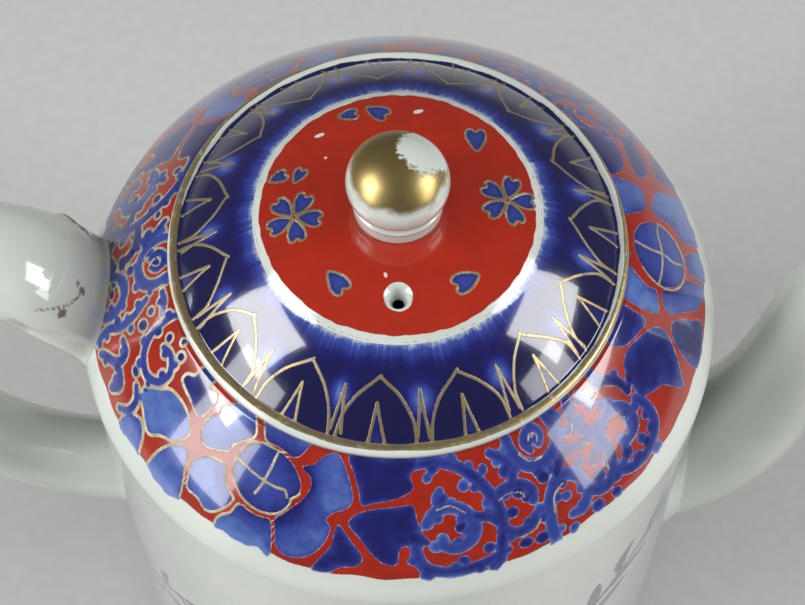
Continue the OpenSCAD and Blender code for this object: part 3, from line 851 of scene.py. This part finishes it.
def shoulder_piece():
    outline, seat_length, curve_length = shoulder_outline()
    obj, angle, along = revolve(
        "shoulder_painted", outline[::-1], 900, "pot", ["shoulder"]
    )
    along = lengths(outline)[-1] - along
    paint = Paint(angle, along - seat_length, SHOULDER_MM_PER_DEGREE)
    paint_shoulder(paint)
    v = paint.v
    outside = (along < seat_length + curve_length) & (v > BAND_START - 1)
    on_band = np.minimum(BAND_END + 0.3 * ripple(angle, (5, 11, 23, 41), 3) - v, v - BAND_START)
    on_band[~outside] = FAR
    # The cobalt under the glaze bleeds a little past the red band's edge and pales there
    bleed = on_band + 0.45 + 0.35 * ripple(angle, (13, 29, 47, 71, 97), 31)
    blue = np.where(outside, np.minimum(paint.blue, bleed), FAR)
    tone = paint.tone - 0.3 * near_edge(bleed, 0.6)
    red = np.minimum(on_band, -paint.blue - 0.03)
    gilt = np.maximum(paint.gold, gilt_edges(paint))
    gold = np.where(outside, np.minimum(gilt, on_band), FAR)
    pinhole = PINHOLE_R - np.hypot(paint.across(PINHOLE_ANGLE), v - PINHOLE_DOWN)
    store(obj, blue=blue, tone=tone, red=red, gold=gold, kiln=pinhole)
    dress(obj, shoulder_glaze)


# ---------- lid ----------

SLOPE_IN = DISC_R + STEP_H
BEAD_IN = LID_R - BEAD_W
DISC_Z = KNOB_BASE_Z - DISC_CROWN
SLOPE_TOP = DISC_Z - STEP_H
SLOPE_LOW = RIM_Z - BEAD_H
DISC_EDGE = DISC_R - STEP_H / 2
CROWN_FLAT = 7.42
LID_MM_PER_DEGREE = 0.56
RED_R = 22.3
ARCHES = 15
ARCH_STEP = 360 / ARCHES
ARCH_APEX = 13.7
ARCH_START = -119
# Single petals on the disc: x, y, length, turn
LOOSE_PETALS = [
    (-9.7, -13.4, 4.6, -52), (10.8, -13.3, 4.8, 210), (12.8, 12.8, 4.9, 92), (-8.2, 18.0, 3.6, 10),
    (-3.4, 18.4, 4.4, -30), (-19.4, 6.2, 3.4, 20), (-16.0, 6.0, 3.2, 60),
]
# Whole blossoms: x, y, reach, turn of the first petal
BLOSSOMS = [(-16.6, -1.7, 4.5, 62), (17.6, 1.4, 4.5, 76)]
# Where the red enamel has chipped: x, y and half sizes
CHIPS = [(3.4, 18.4, 0.9, 0.4), (-12.8, 13.9, 0.9, 0.35), (-2.0, -12.6, 0.25, 0.5), (-11.7, 9.1, 0.3, 0.2)]


def slope_z(r):
    s = (BEAD_IN - r) / (BEAD_IN - SLOPE_IN)
    return SLOPE_LOW + (SLOPE_TOP - SLOPE_LOW) * s + LID_BULGE * 4 * s * (1 - s)


def disc_top(r):
    return KNOB_BASE_Z - DISC_CROWN * np.clip((r - CROWN_FLAT) / (DISC_EDGE - CROWN_FLAT), 0, 1) ** 2


def lid_outline():
    """The lid's closed outline: out from the middle of its underside, then back over the top.

    Returns it with the length at which its top starts.
    """
    hollow_r = FLANGE_R - 2.4
    r = np.linspace(0, DISC_EDGE - LID_T / 2, 12)
    crown_under = np.stack([r, disc_top(r) - LID_T], 1)
    r = np.linspace(SLOPE_IN, hollow_r, 5)
    slope_under = np.stack([r, slope_z(r) - LID_T * 1.25], 1)
    edge = [(hollow_r, SEAT_Z), (LID_R - 0.75, SEAT_Z), (LID_R, SEAT_Z + 0.5)]
    bead = arc((LID_R - BEAD_W / 2, RIM_Z - BEAD_W / 2), BEAD_W / 2, 0, 100, 9)
    r = np.linspace(BEAD_IN - 0.15, SLOPE_IN + 0.25, 60)
    slope = np.stack([r, slope_z(r)], 1)
    step = arc((DISC_EDGE, DISC_Z - STEP_H / 2), STEP_H / 2, 20, 90, 6)
    r = np.linspace(DISC_EDGE - 0.4, CROWN_FLAT, 40)
    crown = np.stack([r, disc_top(r)], 1)
    below = np.vstack([crown_under, slope_under, edge])
    top = resample(smooth(np.vstack([bead, slope, step, crown]), 3), 0.32)
    return np.vstack([below, top, [(3.5, KNOB_BASE_Z), (0, KNOB_BASE_Z)]]), lengths(below)[-1]


def cherry_petal(x, y, length, turn):
    """A cherry petal: pointed at its root, notched at its end. turn is the way from root to notch."""
    half = [(-0.5, 0), (-0.2, 0.24), (0.12, 0.36), (0.40, 0.33), (0.50, 0.15), (0.37, 0)]
    shape = smooth(half + [(px, -py) for px, py in half[-2:0:-1]], 4, True) * length
    return turned(shape[:, 0], shape[:, 1], (x, y), turn)


def disc_petals():
    """The outlines of the loose petals and of the five petals of each blossom."""
    petals = [cherry_petal(*petal) for petal in LOOSE_PETALS]
    for x, y, reach, first in BLOSSOMS:
        for k in range(5):
            turn = first + 72 * k
            dx, dy = direction(turn) * reach * 0.55
            petals.append(cherry_petal(x + dx, y + dy, reach * 0.95, turn))
    return petals


def arch_lines(half, apex, jitter):
    """An arch's two sides, the wedge in it and the spike on its right, by half width and apex height."""
    left = [(-half + 0.9, 3.1), (-half + 1.3 + jitter[0], 7.0), (-3.5, 10.9 + jitter[1]), (0.15, apex + 0.2)]
    right = [(half - 0.9, 3.1), (half - 1.3 + jitter[2], 7.2), (3.3, 11.0 + jitter[3]), (0, apex)]
    wedge = [(-1.3 + jitter[4], 3.2), (-0.2, 9.9), (1.15 + jitter[5], 3.0)]
    spike = [(half - 0.75, 4.0), (half + 0.15, 12.0 + jitter[0]), (half + 0.95, 3.8)]
    return smooth(left), smooth(right), np.array(wedge), np.array(spike)


def paint_arches(paint):
    """Gold arches round the slope, a wedge in each and a spike between each two, on dark cobalt."""
    rng = np.random.default_rng(5)
    v = paint.v
    half = ARCH_STEP / 2 * paint.scale
    for k in range(ARCHES):
        u = paint.across(ARCH_START + ARCH_STEP * k + rng.uniform(-0.9, 0.9))
        apex = ARCH_APEX + rng.uniform(-0.35, 0.35)
        left, right, wedge, spike = arch_lines(half, apex, rng.uniform(-0.3, 0.3, 6))
        for side in (left, right):
            paint.add_gold(stroke_depth(u, v, side, np.linspace(0.2, 0.28, len(side))))
        for mark in (wedge, spike):
            paint.add_gold(stroke_depth(u, v, mark, 0.22))
        arch = shape_depth(u, v, np.vstack([left, right[::-1]]))
        inner = shape_depth(u, v, wedge)
        near = np.abs(u) <= half + 0.4
        # The cobalt is pale between two arches, high up the slope
        patch = hump(v - 10.4, 2.5) * hump(half - np.abs(u), 1.9)
        tone = 0.88 + 0.1 * np.clip(arch / 0.8, 0, 1)
        tone -= 0.8 * patch * (1 - np.clip(arch / 0.5 + 0.3, 0, 1)) + 0.3 * np.clip(inner / 0.4, 0, 1)
        paint.tone[near] = tone[near]


def slope_wash(paint, r, lobes):
    """The slope's cobalt and its tone: streaks at the disc's step that deepen outwards."""
    streaks = ripple(paint.angle, range(40, 230, 11), 8)
    from_disc = r - SLOPE_IN + 0.45
    feather = 0.35 + 0.24 * np.abs(streaks) + 0.25 * lobes
    blue = np.clip((from_disc - feather) * 0.24, -2, 3)
    depth_in = np.clip((from_disc - 0.6 * np.abs(streaks) - 0.3 * lobes) / 3.4, 0, 1)
    above_bead = (paint.v - 2.75 - 0.1 * lobes) * 2
    return np.minimum(blue, above_bead), paint.tone * (0.12 + 0.88 * depth_in**0.7)


def bead_ring(angle, v):
    """The gilt line on the bead, which runs off-centre and wavers."""
    theta = np.radians(angle)
    at = 1.6 - 0.42 * np.cos(theta) - 0.8 * np.sin(theta) + 0.08 * ripple(angle, (4, 7, 12), 4)
    return 0.7 + 0.07 * ripple(angle, (9, 17, 31), 41) - np.abs(v - at)


def red_enamel(x, y, angle, on_top):
    """The disc's red, with an uneven edge, bare round the vent and chipped in places."""
    edge = RED_R + 0.1 * ripple(angle, (3, 7, 13, 29, 47), 6) - np.hypot(x, y)
    from_vent = np.hypot(x, y - VENT_Y) - VENT_MOUTH_R
    waver = 0.06 * ripple(np.degrees(np.arctan2(y - VENT_Y, x)), (2, 5, 7), 61)
    red = np.minimum(np.where(on_top, edge, FAR), from_vent - 0.12 - waver)
    for cx, cy, a, b in CHIPS:
        red = np.minimum(red, -shape_depth(x, y, oval((cx, cy), a, b, 20, 12)))
    return red


def lid_piece():
    outline, top_start = lid_outline()
    obj, angle, along = revolve("lid_painted", outline, 810, "lid", ["lid"])
    x, y, _ = points_of(obj)
    r = np.hypot(x, y)
    v = along - top_start
    on_top = v > 0
    paint = Paint(angle, v, LID_MM_PER_DEGREE)
    paint_arches(paint)
    lobes = ripple(angle, (5, 11, 23, 37), 9)
    blue, tone = slope_wash(paint, r, lobes)
    blue, tone = np.where(on_top, blue, FAR), np.where(on_top, tone, 0)
    # A thin dull line of painted shade runs round the foot of the disc's step, where the step's face lies in
    # shadow; it is drawn in the gold layer
    step_shadow_line = 0.11 - np.abs(r - (DISC_R + 0.3)) - 0.04 * np.abs(lobes)
    gold = np.where(r > SLOPE_IN, np.maximum(paint.gold, bead_ring(angle, v)), step_shadow_line)
    gold = np.where(on_top, gold, FAR)
    petal_blue = np.full(r.shape, FAR)
    for petal in disc_petals():
        depth = np.where(on_top & (r < RED_R), shape_depth(x, y, petal), FAR)
        gold = np.maximum(gold, 0.19 - np.abs(depth - 0.1))
        petal_blue = np.maximum(petal_blue, depth)
    red = np.minimum(red_enamel(x, y, angle, on_top), -petal_blue - 0.02)
    blue = np.where(r < SLOPE_IN - 0.4, petal_blue - 0.3, blue)
    tone = np.where(petal_blue > 0, 0.72 - 0.3 * np.clip(petal_blue, 0, 1), tone)
    store(obj, blue=blue, tone=tone, red=red, gold=gold, kiln=np.full(r.shape, FAR))
    dress(obj, lid_glaze)
    bore_vent(obj)


def bore_vent(lid):
    """Cuts the vent hole, wider at its top, through the lid."""
    bottom, top = SEAT_Z, disc_top(np.array([-VENT_Y]))[0]
    funnel = LID_T * 0.8
    flare = (VENT_MOUTH_R - VENT_R) / funnel
    drill = np.array([
        (0, bottom), (VENT_R, bottom), (VENT_R, top - funnel), (VENT_MOUTH_R + flare, top + 1), (0, top + 1)
    ])
    cutter, _, _ = revolve("vent_drill", drill, 48, "lid")
    cutter.data.transform(Matrix.Translation((0, VENT_Y * MM, 0)))
    cut(lid, cutter)


# ---------- knob ----------

KNOB_FLAT = 0.83  # the knob's height as a share of its width
KNOB_SEAT_R = COLLAR_R - 0.6
GILT_CAP_R = 7.5
RUB_AT, RUB_R = (4.2, 2.4), 4.1  # where the thumb has rubbed the gold through


def knob_piece():
    half = KNOB_R * KNOB_FLAT
    middle = knob_hi[2] - half
    cut_off = -math.degrees(math.asin(math.sqrt(1 - (KNOB_SEAT_R / KNOB_R) ** 2)))
    a = np.radians(np.linspace(cut_off, 90, 60))
    ball = np.stack([KNOB_R * np.cos(a), middle + half * np.sin(a)], 1)
    ball[-1, 0] = 0
    outline = np.vstack([[(0, knob_lo[2])], ball])
    obj, angle, _ = revolve("knob_gilt", outline, 120, "lid", ["knob"])
    x, y, z = points_of(obj)
    upper = z > middle
    cap = GILT_CAP_R + 0.15 * ripple(angle, (2, 5, 9), 12) - np.hypot(x, y)
    rub = RUB_R - np.hypot(x - RUB_AT[0], (y - RUB_AT[1]) * 0.9)
    store(obj, gold=np.where(upper, cap, FAR), rub=np.where(upper, rub, FAR))
    dress(obj, gilded("knob_gilding"))


def collar_piece():
    low, high = collar_lo[2], collar_hi[2]
    waist = [(-0.35, low), (-0.2, low + 0.5), (-0.25, high - 1.3), (-0.02, high - 0.5), (-0.5, high)]
    waist = smooth([(COLLAR_R + r, z) for r, z in waist], 6)
    outline = np.vstack([[(0, low)], waist, [(0, high)]])
    obj, _, _ = revolve("knob_collar_glazed", outline, 120, "lid", ["knob_collar"])
    dress(obj, porcelain_glaze)


# ---------- wall and base ----------

CORNER_R = 6.0
HOLES, HOLE_R, HOLE_PITCH = 7, 2.0, 6.4
DRILL_LENGTH, DRILL_IN = 14, 2  # the drill's middle lies this far inside the wall's face
SPOUT_Z = 41.0
# Leafy branches on the wall, all leaning to the right: the foot's angle and height, and the size
BRANCHES = [(-64.5, 28, 1.0), (-160, 20, 0.62), (115.5, 28, 1.0), (20, 20, 0.62)]
BRANCH_STEM = [(0, 0), (5, 18), (14, 36), (26, 49), (36, 58)]
BRANCH_LEAVES = 12


def wall_radius(z):
    return BASE_R + (BODY_R - BASE_R) * (z - FOOT_H) / (WALL_TOP - FOOT_H)


def base_corner(n=14):
    return arc((BASE_R - CORNER_R, FOOT_H + CORNER_R), CORNER_R, -90, 0, n)


def wall_outline():
    """The wall and base in one closed outline, from the middle of the underside up and back inside."""
    under = resample([(0, FOOT_H), (BASE_R - CORNER_R, FOOT_H)], 3.0)[:-1]
    outside = resample([(BASE_R, FOOT_H + CORNER_R), (BODY_R, WALL_TOP)], 0.8)[1:]
    inner_r, floor_z = CORNER_R - WALL_T, FOOT_H + FLOOR_T
    corner = arc((BASE_R - CORNER_R, floor_z + inner_r), inner_r, 0, -90, 7)
    inside = resample([(BODY_R - WALL_T, WALL_TOP), (BASE_R - WALL_T, floor_z + inner_r)], 3.0)[:-1]
    top = np.vstack([outside[:-1], crisp_corner(outside[-2], outside[-1], inside[0])])
    return np.vstack([under, base_corner(), top, inside, corner, [(0, floor_z)]])


def tapered(points, half_width):
    """A brush stroke that swells from a point and thins out again."""
    line = smooth(points, 8)
    k = np.linspace(0, 1, len(line))
    return line, half_width * np.sin(math.pi * np.clip(k, 0.03, 0.97)) ** 0.6


def paint_branches(paint, z):
    """Stems with leaves on both sides in turn and one at the end."""
    rng = np.random.default_rng(7)
    for angle, foot, size in BRANCHES:
        u, up = paint.across(angle), z - foot
        stem = smooth([(x * size, y * size) for x, y in BRANCH_STEM], 12)
        paint.add_blue(stroke_depth(u, up, stem, np.linspace(0.7, 0.35, len(stem))), 0.75)
        count = round(BRANCH_LEAVES * size)
        for k, share in enumerate(np.linspace(0.2, 1.0, count)):
            node = round(share * (len(stem) - 2))
            ahead = stem[node + 1] - stem[node]
            side = 0 if k == count - 1 else (-1) ** k
            turn = math.degrees(math.atan2(ahead[1], ahead[0])) + side * rng.uniform(26, 42)
            way = direction(turn)
            length = (8.5 + 4.5 * math.sin(math.pi * share)) * math.sqrt(size)
            bend = np.array([-way[1], way[0]]) * length * rng.uniform(-0.12, 0.12)
            start = stem[node] + way * 0.6
            leaf = [start, start + way * length / 2 + bend, start + way * length]
            line, width = tapered(leaf, 1.5 * math.sqrt(size))
            paint.add_blue(stroke_depth(u, up, line, width), rng.uniform(0.65, 0.95))


def drill_strainer(wall):
    """The strainer holes behind the spout: six in a ring and one in its middle."""
    for k in range(HOLES):
        across, up = direction(60 * k) * HOLE_PITCH * (k < HOLES - 1)
        bpy.ops.mesh.primitive_cylinder_add(
            vertices=32, radius=HOLE_R * MM, depth=DRILL_LENGTH * MM, rotation=(0, math.pi / 2, 0),
            location=((wall_radius(SPOUT_Z) - DRILL_IN) * MM, across * MM, (SPOUT_Z + up) * MM),
        )
        cut(wall, bpy.context.object)


def wall_piece():
    obj, angle, along = revolve(
        "wall_painted", wall_outline(), 450, "pot", ["body_wall", "base"]
    )
    x, y, z = points_of(obj)
    paint = Paint(angle, along, BODY_R * math.pi / 180)
    on_wall = (np.hypot(x, y) > wall_radius(z) - 0.5) & (z > FOOT_H + CORNER_R)
    paint_branches(paint, np.where(on_wall, z, FAR))
    far = np.full(z.shape, FAR)
    store(obj, blue=paint.blue, tone=paint.tone, red=far, gold=far, kiln=far)
    dress(obj, wall_glaze)
    drill_strainer(obj)


# ---------- spout and handle ----------

SKIN = np.vstack([
    [(0, FOOT_H)], base_corner(9), bezier(shoulder_curve, np.linspace(1, 0, 25)), [(0, SEAT_Z)]
])
ROOT_DEPTH = 1.2  # how far a limb's skin runs on inside the pot's
LIMB_START = 2.4 * WALL_T  # how far inside the pot a limb's path starts
SPOUT_RISE, SPOUT_REACH = 83.0, 31.0
SPOUT_ROOT_D, SPOUT_MIDDLE_D, SPOUT_TIP_D = 30.0, 17.0, 13.6
SPOUT_WALL, SPOUT_LIP = 2.6, 1.1
SPOUT_COLUMNS, SPOUT_ROWS, LIP_ROWS, BORE_ROWS = 96, 120, 7, 70
HANDLE_TOP, HANDLE_LOW, HANDLE_REACH = 104.0, 35.0, 33.5
STRAP_W, STRAP_T = 16.5, 12.0
EAR_W, EAR_T, EAR_INSET = 29.0, 20.0, 3.0
HEEL_W, HEEL_T = 17.0, 17.0
HANDLE_COLUMNS, HANDLE_ROWS = 112, 260


def above_skin(p):
    return -shape_depth(np.hypot(p[..., 0], p[..., 1]), p[..., 2], SKIN)


class Limb:
    """A curved limb in the XZ plane: a path, its way, and its width and thickness, at shares of it."""

    def __init__(self, path, way, wide, thick, fillet):
        self.path, self.way, self.wide, self.thick, self.fillet = path, way, wide, thick, fillet

    def skin(self, t, a, inset=0.0, shift=0.0, flare=True):
        """Points at shares t and ring angles a, with the slip fillet where the limb meets the pot."""
        at, w = self.path(t), self.way(t)
        ca, sa = np.cos(a), np.sin(a)
        across = (self.wide(t) / 2 - inset) * ca
        out = (self.thick(t) / 2 - inset) * sa
        at = at + w * np.broadcast_to(shift, t.shape)[..., None]
        p = np.stack([at[..., 0] - w[..., 1] * out, across, at[..., 1] + w[..., 0] * out], -1)
        if flare:
            grow = self.fillet * np.exp(-np.maximum(above_skin(p), 0) / self.fillet)
            p = p + grow[..., None] * np.stack([-w[..., 1] * sa, ca, w[..., 0] * sa], -1)
        return p

    def root(self, a, shares, **kind):
        """The share at which the skin comes out of the pot, for each ring angle, from buried to clear."""
        t, ring = np.meshgrid(shares, a, indexing="ij")
        height = above_skin(self.skin(t, ring, **kind)) + ROOT_DEPTH
        last = len(shares) - 1 - np.argmax(height[::-1] < 0, axis=0)
        last = np.minimum(last, len(shares) - 2)
        j = np.arange(len(a))
        low, high = height[last, j], height[last + 1, j]
        f = np.clip(-low / np.maximum(high - low, 1e-9), 0, 1)
        return shares[last] + f * (shares[last + 1] - shares[last])

    def rows(self, start, end, spacing, a, **kind):
        t = start + (end - start) * spacing[:, None]
        return self.skin(t, np.broadcast_to(a, t.shape), **kind)


def eased(rows, end=True):
    """Spacing from 0 to 1 with closer rows at the start and, if wanted, at the end."""
    k = np.linspace(0, 1, rows)
    wave, closer = (2 if end else 1) * math.pi, 0.45
    return k - closer * np.sin(wave * k) / wave


def two_legs(low, high, curve):
    """One curve from two Bezier legs, for shares from 0 to 2."""

    def at(t):
        first = curve(low, np.minimum(t, 1))
        second = curve(high, np.maximum(t - 1, 0))
        return np.where((t < 1)[..., None], first, second)

    return at


def segment_distance(p, line):
    """Distance in space from points to a line."""
    best = np.full(p.shape[:-1], 99.0)
    for a, b in zip(np.array(line[:-1], float), np.array(line[1:], float)):
        d = b - a
        t = np.clip(((p - a) @ d) / (d @ d), 0, 1)
        best = np.minimum(best, np.linalg.norm(p - a - t[..., None] * d, axis=-1))
    return best


def spout_width(t):
    near = SPOUT_MIDDLE_D + (SPOUT_ROOT_D - SPOUT_MIDDLE_D) * np.clip(1 - t, 0, 1) ** 1.6
    slim = SPOUT_MIDDLE_D + (SPOUT_TIP_D - SPOUT_MIDDLE_D) * (1 - np.clip(2 - t, 0, 1) ** 1.3)
    return np.where(t < 1, near, slim)


def spout_limb():
    """The S-shaped spout from its root in the wall to its tip, and the share at which its lip turns."""
    root_way, knee_way, tip_way = direction(10), direction(80), direction(58)
    start = np.array([wall_radius(SPOUT_Z), SPOUT_Z]) - LIMB_START * root_way
    knee = np.array([BODY_R + SPOUT_REACH * 0.65, SPOUT_Z + SPOUT_RISE * 0.74])
    tip = np.array([BODY_R + SPOUT_REACH, SPOUT_Z + SPOUT_RISE])
    low = [start, start + SPOUT_RISE * 0.32 * root_way, knee - SPOUT_RISE * 0.34 * knee_way, knee]
    high = [knee, knee + SPOUT_RISE * 0.1 * knee_way, tip - SPOUT_RISE * 0.1 * tip_way, tip]
    path, way = two_legs(low, high, bezier), two_legs(low, high, bezier_way)
    turn_at = 2 - SPOUT_LIP / (np.linalg.norm(tip - knee) * 1.02)
    return Limb(path, way, spout_width, spout_width, fillet=1.4), turn_at


def spout_piece():
    limb, end = spout_limb()
    a = full_turn(SPOUT_COLUMNS)
    shares = np.linspace(0, 0.5, 120)
    outer = limb.rows(limb.root(a, shares), end, eased(SPOUT_ROWS, end=False), a)
    phi = np.linspace(0, math.pi, LIP_ROWS + 2)[1:-1, None]
    t = np.full((LIP_ROWS, SPOUT_COLUMNS), end)
    inset, shift = SPOUT_WALL / 2 * (1 - np.cos(phi)), SPOUT_LIP * np.sin(phi)
    lip = limb.skin(t, np.broadcast_to(a, t.shape), inset=inset, shift=shift, flare=False)
    hollow = {"inset": SPOUT_WALL, "flare": False}
    inner = limb.rows(limb.root(a, shares, **hollow), end, eased(BORE_ROWS, end=False), a, **hollow)[::-1]
    rings = np.concatenate([outer, lip, inner])
    faces = ring_faces(len(rings), SPOUT_COLUMNS, wrap_rows=True)
    obj = mesh_object("spout_glazed", rings.reshape(-1, 3), faces, "pot", ["spout"])
    dress(obj, porcelain_glaze)


# Places on the handle's upper end: the kiln grit's ridge, spots (with radius) and smear, the moulding
# crease on its front and the swelling on its top
GRIT_RIDGE = [(-56.9, 9.5, 118.7), (-55.9, 8.9, 118.3), (-54.3, 7.8, 118.0), (-53.0, 6.9, 116.8)]
GRIT_SPOTS = [(-55.9, -9.0, 118.0, 1.0), (-52.9, -4.7, 117.9, 0.75), (-53.5, -3.8, 119.1, 0.5)]
GRIT_SMEAR = [
    (-60.1, -10.0, 121.0), (-58.0, -9.2, 120.1), (-55.9, -8.2, 119.0), (-54.1, -6.7, 118.2),
    (-52.7, -4.5, 117.7),
]
CREASE = [(-63.6, -9.6, 118.2), (-61.9, -11, 115.1), (-56.2, -12.1, 112.7), (-52.8, -12.1, 110.8)]
SWELLING = [(-66, -6, 119), (-62, -7, 121)]


def spread(strap, at_ear, at_heel, pinch):
    """A size along the handle: spread at its ear and heel, and pinched at its very start."""
    steps = 26  # of each leg in the CAD's loft; the ear, heel and pinch are as long as some of these

    def size(t):
        i = np.clip(t, 0, 2) * steps
        base = strap * (1 + 0.13 * np.clip(1 - i / steps, 0, 1))
        ear, heel = hump(i, 7, 1.6), hump(2 * steps - i, 4.5, 1.6)
        return (base + (at_ear - base) * ear + (at_heel - base) * heel) * (1 - pinch * hump(i, 4.0))

    return size


def handle_limb():
    """The handle from its ear on the shoulder, out round its bend and in to its heel on the wall."""
    top_way, low_way = direction(70) * (-1, 1), direction(-6)
    start = np.array([-(BODY_R - EAR_INSET), HANDLE_TOP]) - LIMB_START * top_way
    end = np.array([-wall_radius(HANDLE_LOW), HANDLE_LOW]) + LIMB_START * low_way
    out = np.array([-(BODY_R + HANDLE_REACH), HANDLE_LOW + (HANDLE_TOP - HANDLE_LOW) * 0.91])
    bend_up, bend_down = (0, HANDLE_REACH * 1.15), (0, HANDLE_REACH * 1.1)
    upper = [start, start + (LIMB_START + HANDLE_REACH * 0.81) * top_way, out + bend_up, out]
    lower = [out, out - bend_down, end - (LIMB_START + HANDLE_REACH * 0.9) * low_way, end]
    path, way = two_legs(upper, lower, bezier), two_legs(upper, lower, bezier_way)
    wide, thick = spread(STRAP_W, EAR_W, HEEL_W, 0.24), spread(STRAP_T, EAR_T, HEEL_T, 0.5)
    return Limb(path, way, wide, thick, fillet=0.7)


def with_relief(rings, ridge):
    """The handle's rings with the crease sunk in and the swelling and the grit ridge raised."""
    crease = segment_distance(rings, CREASE)
    swelling = segment_distance(rings, SWELLING)
    height = -1.1 * hump(crease, 1.1) + 0.7 * hump(ridge, 0.9) + 0.8 * hump(swelling, 5.0)
    away = rings - rings.mean(axis=1, keepdims=True)
    away = away / np.linalg.norm(away, axis=-1, keepdims=True)
    fade = np.clip((above_skin(rings) + ROOT_DEPTH) / 2, 0, 1)
    return rings + (height * fade)[..., None] * away


def grit_depth(rings, ridge):
    """Depth inside the kiln grit."""
    depth = np.maximum(0.7 - ridge, 0.3 - segment_distance(rings, GRIT_SMEAR))
    for x, y, z, size in GRIT_SPOTS:
        depth = np.maximum(depth, size - np.linalg.norm(rings - (x, y, z), axis=-1))
    return depth


def cap_middle(ring):
    """The middle of an end ring, moved outwards until it lies just under the pot's skin."""
    middle = ring.mean(axis=0)
    way = np.array([-1, 0, 0.8 if middle[2] > HANDLE_TOP - 8 else 0])
    for _ in range(40):
        if above_skin(middle[None])[0] >= -ROOT_DEPTH * 1.3:
            break
        middle = middle + way * 0.1
    return middle


def handle_piece():
    limb = handle_limb()
    a = full_turn(HANDLE_COLUMNS)
    first = limb.root(a, np.linspace(-0.12, 0.5, 200))
    last = limb.root(a, np.linspace(2.1, 1.5, 200))
    rings = limb.rows(first, last, eased(HANDLE_ROWS), a)
    ridge = segment_distance(rings, GRIT_RIDGE)
    rings = with_relief(rings, ridge)
    caps = [cap_middle(rings[0]), cap_middle(rings[-1])]
    n = rings.shape[0] * HANDLE_COLUMNS
    j = np.arange(HANDLE_COLUMNS)
    k = (j + 1) % HANDLE_COLUMNS
    tail = n - HANDLE_COLUMNS
    faces = ring_faces(rings.shape[0], HANDLE_COLUMNS)
    faces += np.stack([np.full(HANDLE_COLUMNS, n), k, j], 1).tolist()
    faces += np.stack([tail + j, tail + k, np.full(HANDLE_COLUMNS, n + 1)], 1).tolist()
    obj = mesh_object(
        "handle_glazed", np.vstack([rings.reshape(-1, 3), caps]), faces, "pot",
        ["handle", "upper_terminal", "lower_terminal"],
    )
    store(obj, kiln=np.append(grit_depth(rings, ridge).ravel(), [FAR, FAR]))
    dress(obj, marked_glaze)


shoulder_piece()
lid_piece()
knob_piece()
collar_piece()
wall_piece()
spout_piece()
handle_piece()
dress(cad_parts["lid_flange"], porcelain_glaze)
dress(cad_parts["foot_ring"], biscuit("foot_biscuit"))

# ---------- floor, lamps and camera ----------

PHOTO_WIDTH_PX = 805
CAMERA_ELEVATION = 61.0
CAMERA_DISTANCE = 347.0
FOCAL_PX = 2100.0
RIM_ABOVE_CENTRE_PX = 60.5
RIM_LEFT_OF_CENTRE_PX = 9.2
FLOOR_SIZE_M = 3.0
LAMP_DISTANCE_M, OVERHEAD_DISTANCE_M = 0.85, 1.3
WORLD_STRENGTH = 0.14


def floor():
    bpy.ops.mesh.primitive_plane_add(size=FLOOR_SIZE_M, location=(0, 0, 0))
    obj = bpy.context.object
    obj.name = "floor"
    n = Nodes("floor_paper")
    grain = n.ease(n.noise(3.0, 3.0), -0.3, 0.3)
    n.set(Base_Color=n.blend(grain, PAPER, PAPER_LIGHT), Roughness=0.75)
    dress(obj, n.material)


def lamp(name, way, distance, size, power, glossy=True):
    """A square lamp, at a distance and of a size in metres, that faces the middle of the rim."""
    light = bpy.data.lights.new(name, "AREA")
    light.shape, light.size, light.energy = "SQUARE", size, power
    obj = bpy.data.objects.new(name, light)
    way = Vector(way).normalized()
    obj.location = Vector((0, 0, RIM_Z * MM)) + way * distance
    obj.rotation_euler = (-way).to_track_quat("-Z", "Y").to_euler()
    obj.visible_glossy = glossy
    bpy.context.scene.collection.objects.link(obj)


def studio():
    lamp("softbox_left", (-0.80, -0.21, 0.55), LAMP_DISTANCE_M, 0.42, 5.0)
    lamp("softbox_right", (0.85, -0.10, 0.51), LAMP_DISTANCE_M, 0.42, 4.3)
    lamp("low_left", (-0.84, -0.47, 0.22), LAMP_DISTANCE_M, 0.34, 1.9)
    lamp("low_right", (0.86, -0.42, 0.24), LAMP_DISTANCE_M, 0.30, 1.2)
    lamp("overhead", (0.0, -0.15, 1.0), OVERHEAD_DISTANCE_M, 0.9, 4.2, glossy=False)
    world = bpy.data.worlds.new("studio")
    world.use_nodes = True
    background = world.node_tree.nodes["Background"]
    background.inputs["Color"].default_value = (1, 1, 1, 1)
    background.inputs["Strength"].default_value = WORLD_STRENGTH
    bpy.context.scene.world = world
    bpy.context.scene.view_settings.view_transform = "Standard"


def camera():
    """The photo's view: the rim's middle lies a little above and left of the picture's centre."""
    data = bpy.data.cameras.new("camera")
    data.sensor_width = 36.0
    data.lens = FOCAL_PX * data.sensor_width / PHOTO_WIDTH_PX
    data.clip_start, data.clip_end = 0.01, 10
    obj = bpy.data.objects.new("camera", data)
    e = math.radians(CAMERA_ELEVATION)
    obj.location = Vector((0, -CAMERA_DISTANCE * math.cos(e), RIM_Z + CAMERA_DISTANCE * math.sin(e))) * MM
    dip = e + math.atan(RIM_ABOVE_CENTRE_PX / FOCAL_PX)
    yaw = -math.atan(RIM_LEFT_OF_CENTRE_PX / FOCAL_PX)
    obj.rotation_euler = (math.pi / 2 - dip, 0, yaw)
    bpy.context.scene.collection.objects.link(obj)
    bpy.context.scene.camera = obj


floor()
studio()
camera()
